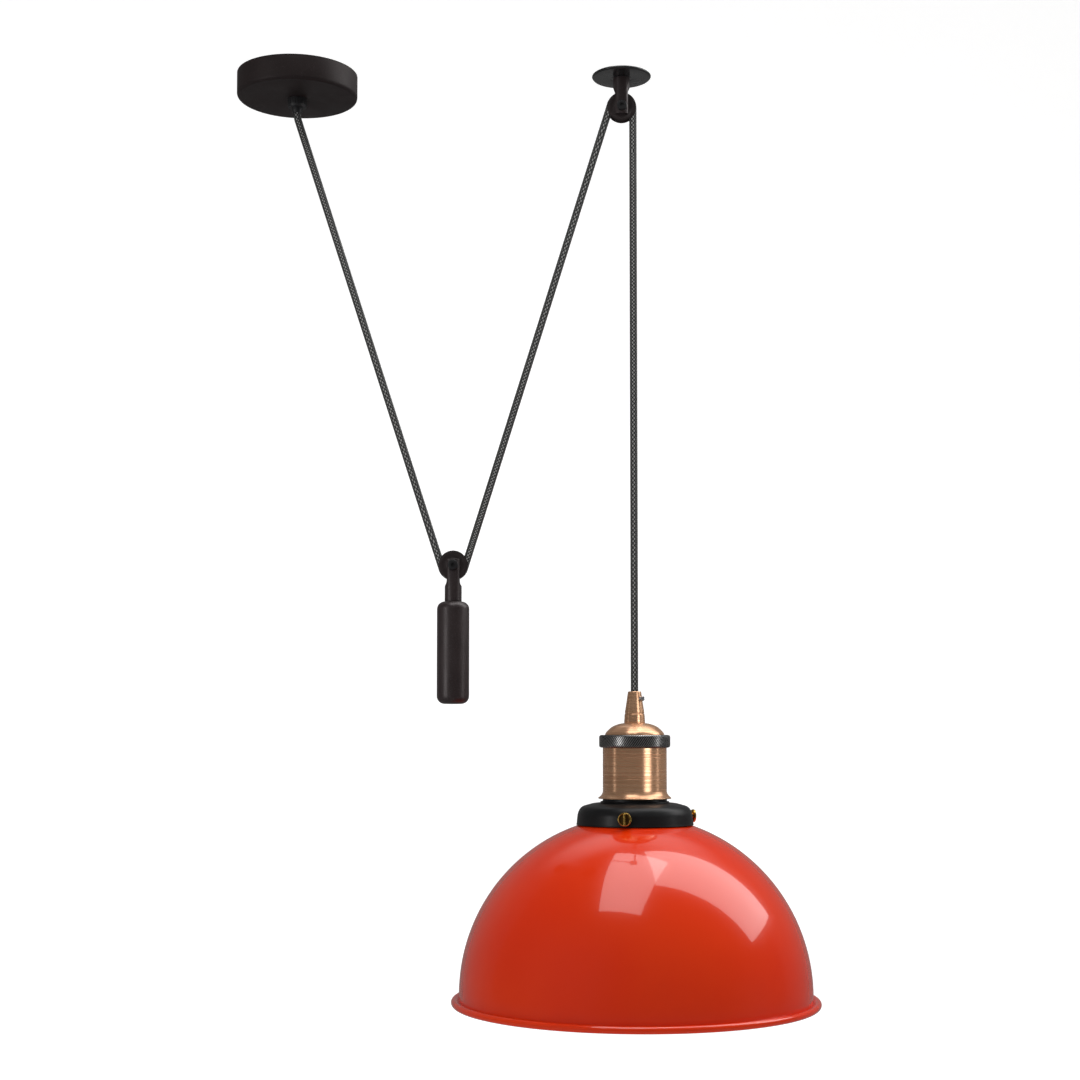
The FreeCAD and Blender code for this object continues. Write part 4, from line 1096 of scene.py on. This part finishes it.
def nurbs_tube(name, route, radius):
    """A tube that follows a smooth spline through the route. Returns it and its middle line."""
    curve = bpy.data.curves.new(name, "CURVE")
    curve.dimensions = "3D"
    curve.resolution_u = 16
    spline = curve.splines.new("NURBS")
    spline.points.add(len(route) - 1)
    for point, (x, z) in zip(spline.points, route):
        point.co = (x * MM, 0, z * MM, 1)
    spline.order_u = 3
    spline.use_endpoint_u = True
    holder = bpy.data.objects.new(name, curve)
    bpy.context.scene.collection.objects.link(holder)
    graph = bpy.context.evaluated_depsgraph_get()
    line = bpy.data.meshes.new_from_object(holder.evaluated_get(graph))
    path = [v.co.copy() for v in line.vertices]
    bpy.data.meshes.remove(line)
    curve.bevel_depth = radius
    curve.bevel_resolution = 8
    curve.use_fill_caps = True
    graph = bpy.context.evaluated_depsgraph_get()
    mesh = bpy.data.meshes.new_from_object(holder.evaluated_get(graph))
    bpy.data.objects.remove(holder)
    bpy.data.curves.remove(curve)
    return mesh, path


def braid_map(mesh, path, before):
    """A UV map with the way round the cord and the length along it from where it starts."""
    while mesh.uv_layers:
        mesh.uv_layers.remove(mesh.uv_layers[0])
    layer = mesh.uv_layers.new(name="Braid")
    lengths = [before]
    for a, b in zip(path, path[1:]):
        lengths.append(lengths[-1] + (b - a).length)
    count = len(mesh.vertices) // len(path)
    around = {}
    for vert in mesh.vertices:
        ring = min(vert.index // count, len(path) - 1)
        around[vert.index] = ((vert.index % count) / count, lengths[ring])
    for polygon in mesh.polygons:
        values = [around[mesh.loops[k].vertex_index] for k in polygon.loop_indices]
        wraps = max(v[0] for v in values) - min(v[0] for v in values) > 0.5
        for k, (u, v) in zip(polygon.loop_indices, values):
            layer.data[k].uv = (u + 1 if wraps and u < 0.5 else u, v)


class PENDANT_OT_cord(bpy.types.Operator):
    """Build the braided cord: its two strands over the wheels and the drop to the lamp"""

    bl_idname = "pendant.cord"
    bl_label = "Cord"

    radius = 3.1 * MM

    def execute(self, context):
        strands, path = self.strand("cord_strands", STRANDS)
        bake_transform(strands)
        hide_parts("cord_loop", "cord_over")
        neck, path = self.strand("cord_neck", NECK)
        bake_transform(neck)
        drop, path = self.strand("cord_to_lamp", DROP, before=0.0385)
        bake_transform(drop)
        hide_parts("cord_drop")
        return {"FINISHED"}

    def strand(self, name, route, before=0.0):
        mesh, path = nurbs_tube(name, route, self.radius)
        braid_map(mesh, path, before)
        mesh.materials.clear()
        mesh.materials.append(FINISH["braid"])
        mesh.polygons.foreach_set("use_smooth", [True] * len(mesh.polygons))
        obj = bpy.data.objects.new(name, mesh)
        bpy.context.scene.collection.objects.link(obj)
        return obj, path


class PENDANT_OT_wiring(bpy.types.Operator):
    """Give the cores in the rose and in the holder their insulation"""

    bl_idname = "pendant.wiring"
    bl_label = "Wiring"

    def execute(self, context):
        for place in ("rose", "lamp"):
            for core, finish in (
                ("live", "brown_core"), ("neutral", "blue_core"), ("earth", "earth_core")
            ):
                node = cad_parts[f"{place}_{core}_core"]
                node.data.materials.clear()
                node.data.materials.append(FINISH[finish])
        return {"FINISHED"}


class PENDANT_OT_stage(bpy.types.Operator):
    """Build the pale floor and backdrop, the lights and the camera"""

    bl_idname = "pendant.stage"
    bl_label = "Stage"

    def execute(self, context):
        self.backdrop()
        self.lights(context)
        self.camera(context)
        return {"FINISHED"}

    def backdrop(self):
        floor_level, wall, bend, front, ceiling, half_width = -1.5, 2.2, 0.7, -6.0, 4.0, 7.0
        bm = bmesh.new()
        profile = [(front, floor_level), (wall - bend, floor_level)]
        profile += [
            (wall - bend + bend * math.sin(a), floor_level + bend - bend * math.cos(a))
            for a in (math.radians(90 * k / 16) for k in range(1, 17))
        ]
        profile.append((wall, ceiling))
        verts = [bm.verts.new((-half_width, y, z)) for y, z in profile]
        edges = [bm.edges.new(pair) for pair in zip(verts, verts[1:])]
        swept = bmesh.ops.extrude_edge_only(bm, edges=edges)
        far = [g for g in swept["geom"] if isinstance(g, bmesh.types.BMVert)]
        bmesh.ops.translate(bm, vec=(2 * half_width, 0, 0), verts=far)
        bm.normal_update()
        if sum(face.normal.z for face in bm.faces) < 0:
            bmesh.ops.reverse_faces(bm, faces=bm.faces)
        obj = bare(bm, "backdrop")
        obj.data.polygons.foreach_set("use_smooth", [True] * len(obj.data.polygons))
        obj.data.materials.append(self.backdrop_finish())

    def backdrop_finish(self):
        """Pale and matt, an even white for the camera, dim in a mirror and clear from behind."""
        material, n, shader = new_finish("Pale backdrop", Roughness=0.9)
        ray = n.add("ShaderNodeLightPath")
        mirrored = ray.outputs["Is Glossy Ray"]
        n.link(n.mix(mirrored, (0.6, 0.6, 0.6, 1), (0.16, 0.16, 0.16, 1)), shader.inputs["Base Color"])
        shader.inputs["Emission Color"].default_value = (1, 1, 1, 1)
        glow = n.ramp(mirrored, 0.0, 1.0, 0.26, 0.06)
        n.link(n.ramp(ray.outputs["Is Camera Ray"], 0.0, 1.0, glow, 0.72), shader.inputs["Emission Strength"])
        clear = n.add("ShaderNodeBsdfTransparent")
        sides = n.add("ShaderNodeMixShader")
        n.link(n.add("ShaderNodeNewGeometry").outputs["Backfacing"], sides.inputs["Fac"])
        n.link(shader.outputs["BSDF"], sides.inputs[1])
        n.link(clear.outputs["BSDF"], sides.inputs[2])
        surface = next(node for node in n.tree.nodes if node.type == "OUTPUT_MATERIAL")
        n.link(sides.outputs["Shader"], surface.inputs["Surface"])
        return material

    def lights(self, context):
        world = bpy.data.worlds.new("Soft surroundings")
        world.use_nodes = True
        n = Nodes(world.node_tree)
        background = world.node_tree.nodes["Background"]
        background.inputs["Color"].default_value = (1.0, 0.99, 0.98, 1)
        ray = n.add("ShaderNodeLightPath")
        unseen = n.ramp(ray.outputs["Is Glossy Ray"], 0.0, 1.0, 0.26, 0.08)
        n.link(n.ramp(ray.outputs["Is Camera Ray"], 0.0, 1.0, unseen, 0.95), background.inputs["Strength"])
        context.scene.world = world
        context.scene.view_settings.view_transform = "Standard"
        shade = Vector((LAMP.x, 0, -0.76))
        # name, place from the shade, width, height, watts, soft edges, mirrored, what it falls on
        for name, reach, width, height, power, soft_edged, mirrored, only in (
            ("overhead", (-0.10, -0.30, 1.75), 0.8, 1.5, 12, False, True, None),
            ("right_strip", (0.95, 0.18, 1.3), 0.95, 1.8, 18, False, True, None),
            ("back_panel", (0.0, 0.95, 1.6), 2.8, 1.1, 7, True, True, None),
            ("left_panel", (-2.2, -1.6, 0.8), 5.2, 4.4, 58, True, False, None),
            ("right_panel", (2.0, -0.45, -0.05), 1.3, 1.4, 7, True, False, None),
            ("left_strip", (-2.2, -1.6, 0.3), 0.9, 2.6, 42, True, True, "Dark pieces"),
            ("side_strip", (2.0, -0.45, 0.0), 0.5, 1.6, 11, True, True, "Dark pieces"),
            ("copper_left", (-2.3, -0.4, 0.2), 0.4, 1.8, 3, True, True, "Copper pieces"),
            ("copper_front", (1.6, -1.65, 0.35), 1.4, 1.8, 46, True, True, "Copper pieces"),
            ("copper_side", (2.2, -0.1, 0.2), 0.3, 1.8, 3, True, True, "Copper pieces"),
        ):
            light = bpy.data.lights.new(name, "AREA")
            light.shape = "RECTANGLE"
            light.size = width
            light.size_y = height
            light.energy = power
            if soft_edged:
                self.fade_edges(light)
            panel = bpy.data.objects.new(name, light)
            panel.location = shade + Vector(reach)
            panel.rotation_euler = (-Vector(reach)).to_track_quat("-Z", "Y").to_euler()
            context.scene.collection.objects.link(panel)
            panel.visible_glossy = mirrored
            if only:
                panel.light_linking.receiver_collection = lit_group(only)

    def fade_edges(self, light):
        """Lets a panel die away towards its edges, so that what mirrors it shows no outline."""
        light.use_nodes = True
        n = Nodes(light.node_tree)
        sides = n.add("ShaderNodeSeparateXYZ")
        n.link(n.add("ShaderNodeNewGeometry").outputs["Parametric"], sides.inputs["Vector"])
        shares = []
        for side in ("X", "Y"):
            from_middle = n.math("ABSOLUTE", n.math("SUBTRACT", sides.outputs[side], 0.5))
            shares.append(n.ramp(from_middle, 0.08, 0.5, 1.0, 0.0))
        emission = next(node for node in light.node_tree.nodes if node.type == "EMISSION")
        n.link(n.math("MULTIPLY", *shares), emission.inputs["Strength"])

    def camera(self, context):
        """Places the camera where the photograph puts it, from measures in its pixels."""
        distance = context.scene.pendant_sizes.camera_distance
        photo, sensor, scale = 1080, 36, 0.822 * MM
        rose_x, ceiling_y, horizon, shift = 293, 64.2, 731, 89
        middle_x = (photo / 2 - rose_x) * scale
        level = -(horizon - ceiling_y) * scale
        focal = distance / scale
        pitch = math.atan((horizon - photo / 2 - shift) / focal)
        data = bpy.data.cameras.new("camera")
        data.sensor_width = sensor
        data.lens = focal / photo * sensor
        data.shift_y = shift / photo
        data.clip_end = 30
        camera = bpy.data.objects.new("camera", data)
        camera.location = (middle_x, -distance, level)
        camera.rotation_euler = (math.radians(90) + pitch, 0, 0)
        context.scene.collection.objects.link(camera)
        context.scene.camera = camera


class PENDANT_PT_panel(bpy.types.Panel):
    """Lists the builders and their settings"""

    bl_idname = "PENDANT_PT_panel"
    bl_label = "Rise and Fall Pendant"
    bl_space_type = "VIEW_3D"
    bl_region_type = "UI"
    bl_category = "Pendant"

    def draw(self, context):
        column = self.layout.column(align=True)
        for builder in BUILDERS:
            column.operator(builder.bl_idname)
        for settings in (context.scene.pendant_sizes, context.scene.pendant_finishes):
            box = self.layout.box()
            for name in settings.__annotations__:
                box.prop(settings, name)


BUILDERS = (
    PENDANT_OT_stage, PENDANT_OT_cord, PENDANT_OT_rose, PENDANT_OT_pulleys, PENDANT_OT_weight,
    PENDANT_OT_grip, PENDANT_OT_holder, PENDANT_OT_socket, PENDANT_OT_gallery,
    PENDANT_OT_thumb_screws, PENDANT_OT_shade, PENDANT_OT_wiring,
)
CLASSES = (PendantSizes, PendantFinishes) + BUILDERS + (PENDANT_PT_panel,)


def register():
    for cls in CLASSES:
        bpy.utils.register_class(cls)
    bpy.types.Scene.pendant_sizes = PointerProperty(type=PendantSizes)
    bpy.types.Scene.pendant_finishes = PointerProperty(type=PendantFinishes)


def unregister():
    del bpy.types.Scene.pendant_finishes
    del bpy.types.Scene.pendant_sizes
    for cls in reversed(CLASSES):
        bpy.utils.unregister_class(cls)


def main():
    register()
    make_finishes()
    for builder in BUILDERS:
        group, action = builder.bl_idname.split(".")
        getattr(getattr(bpy.ops, group), action)()


if __name__ == "__main__":
    main()
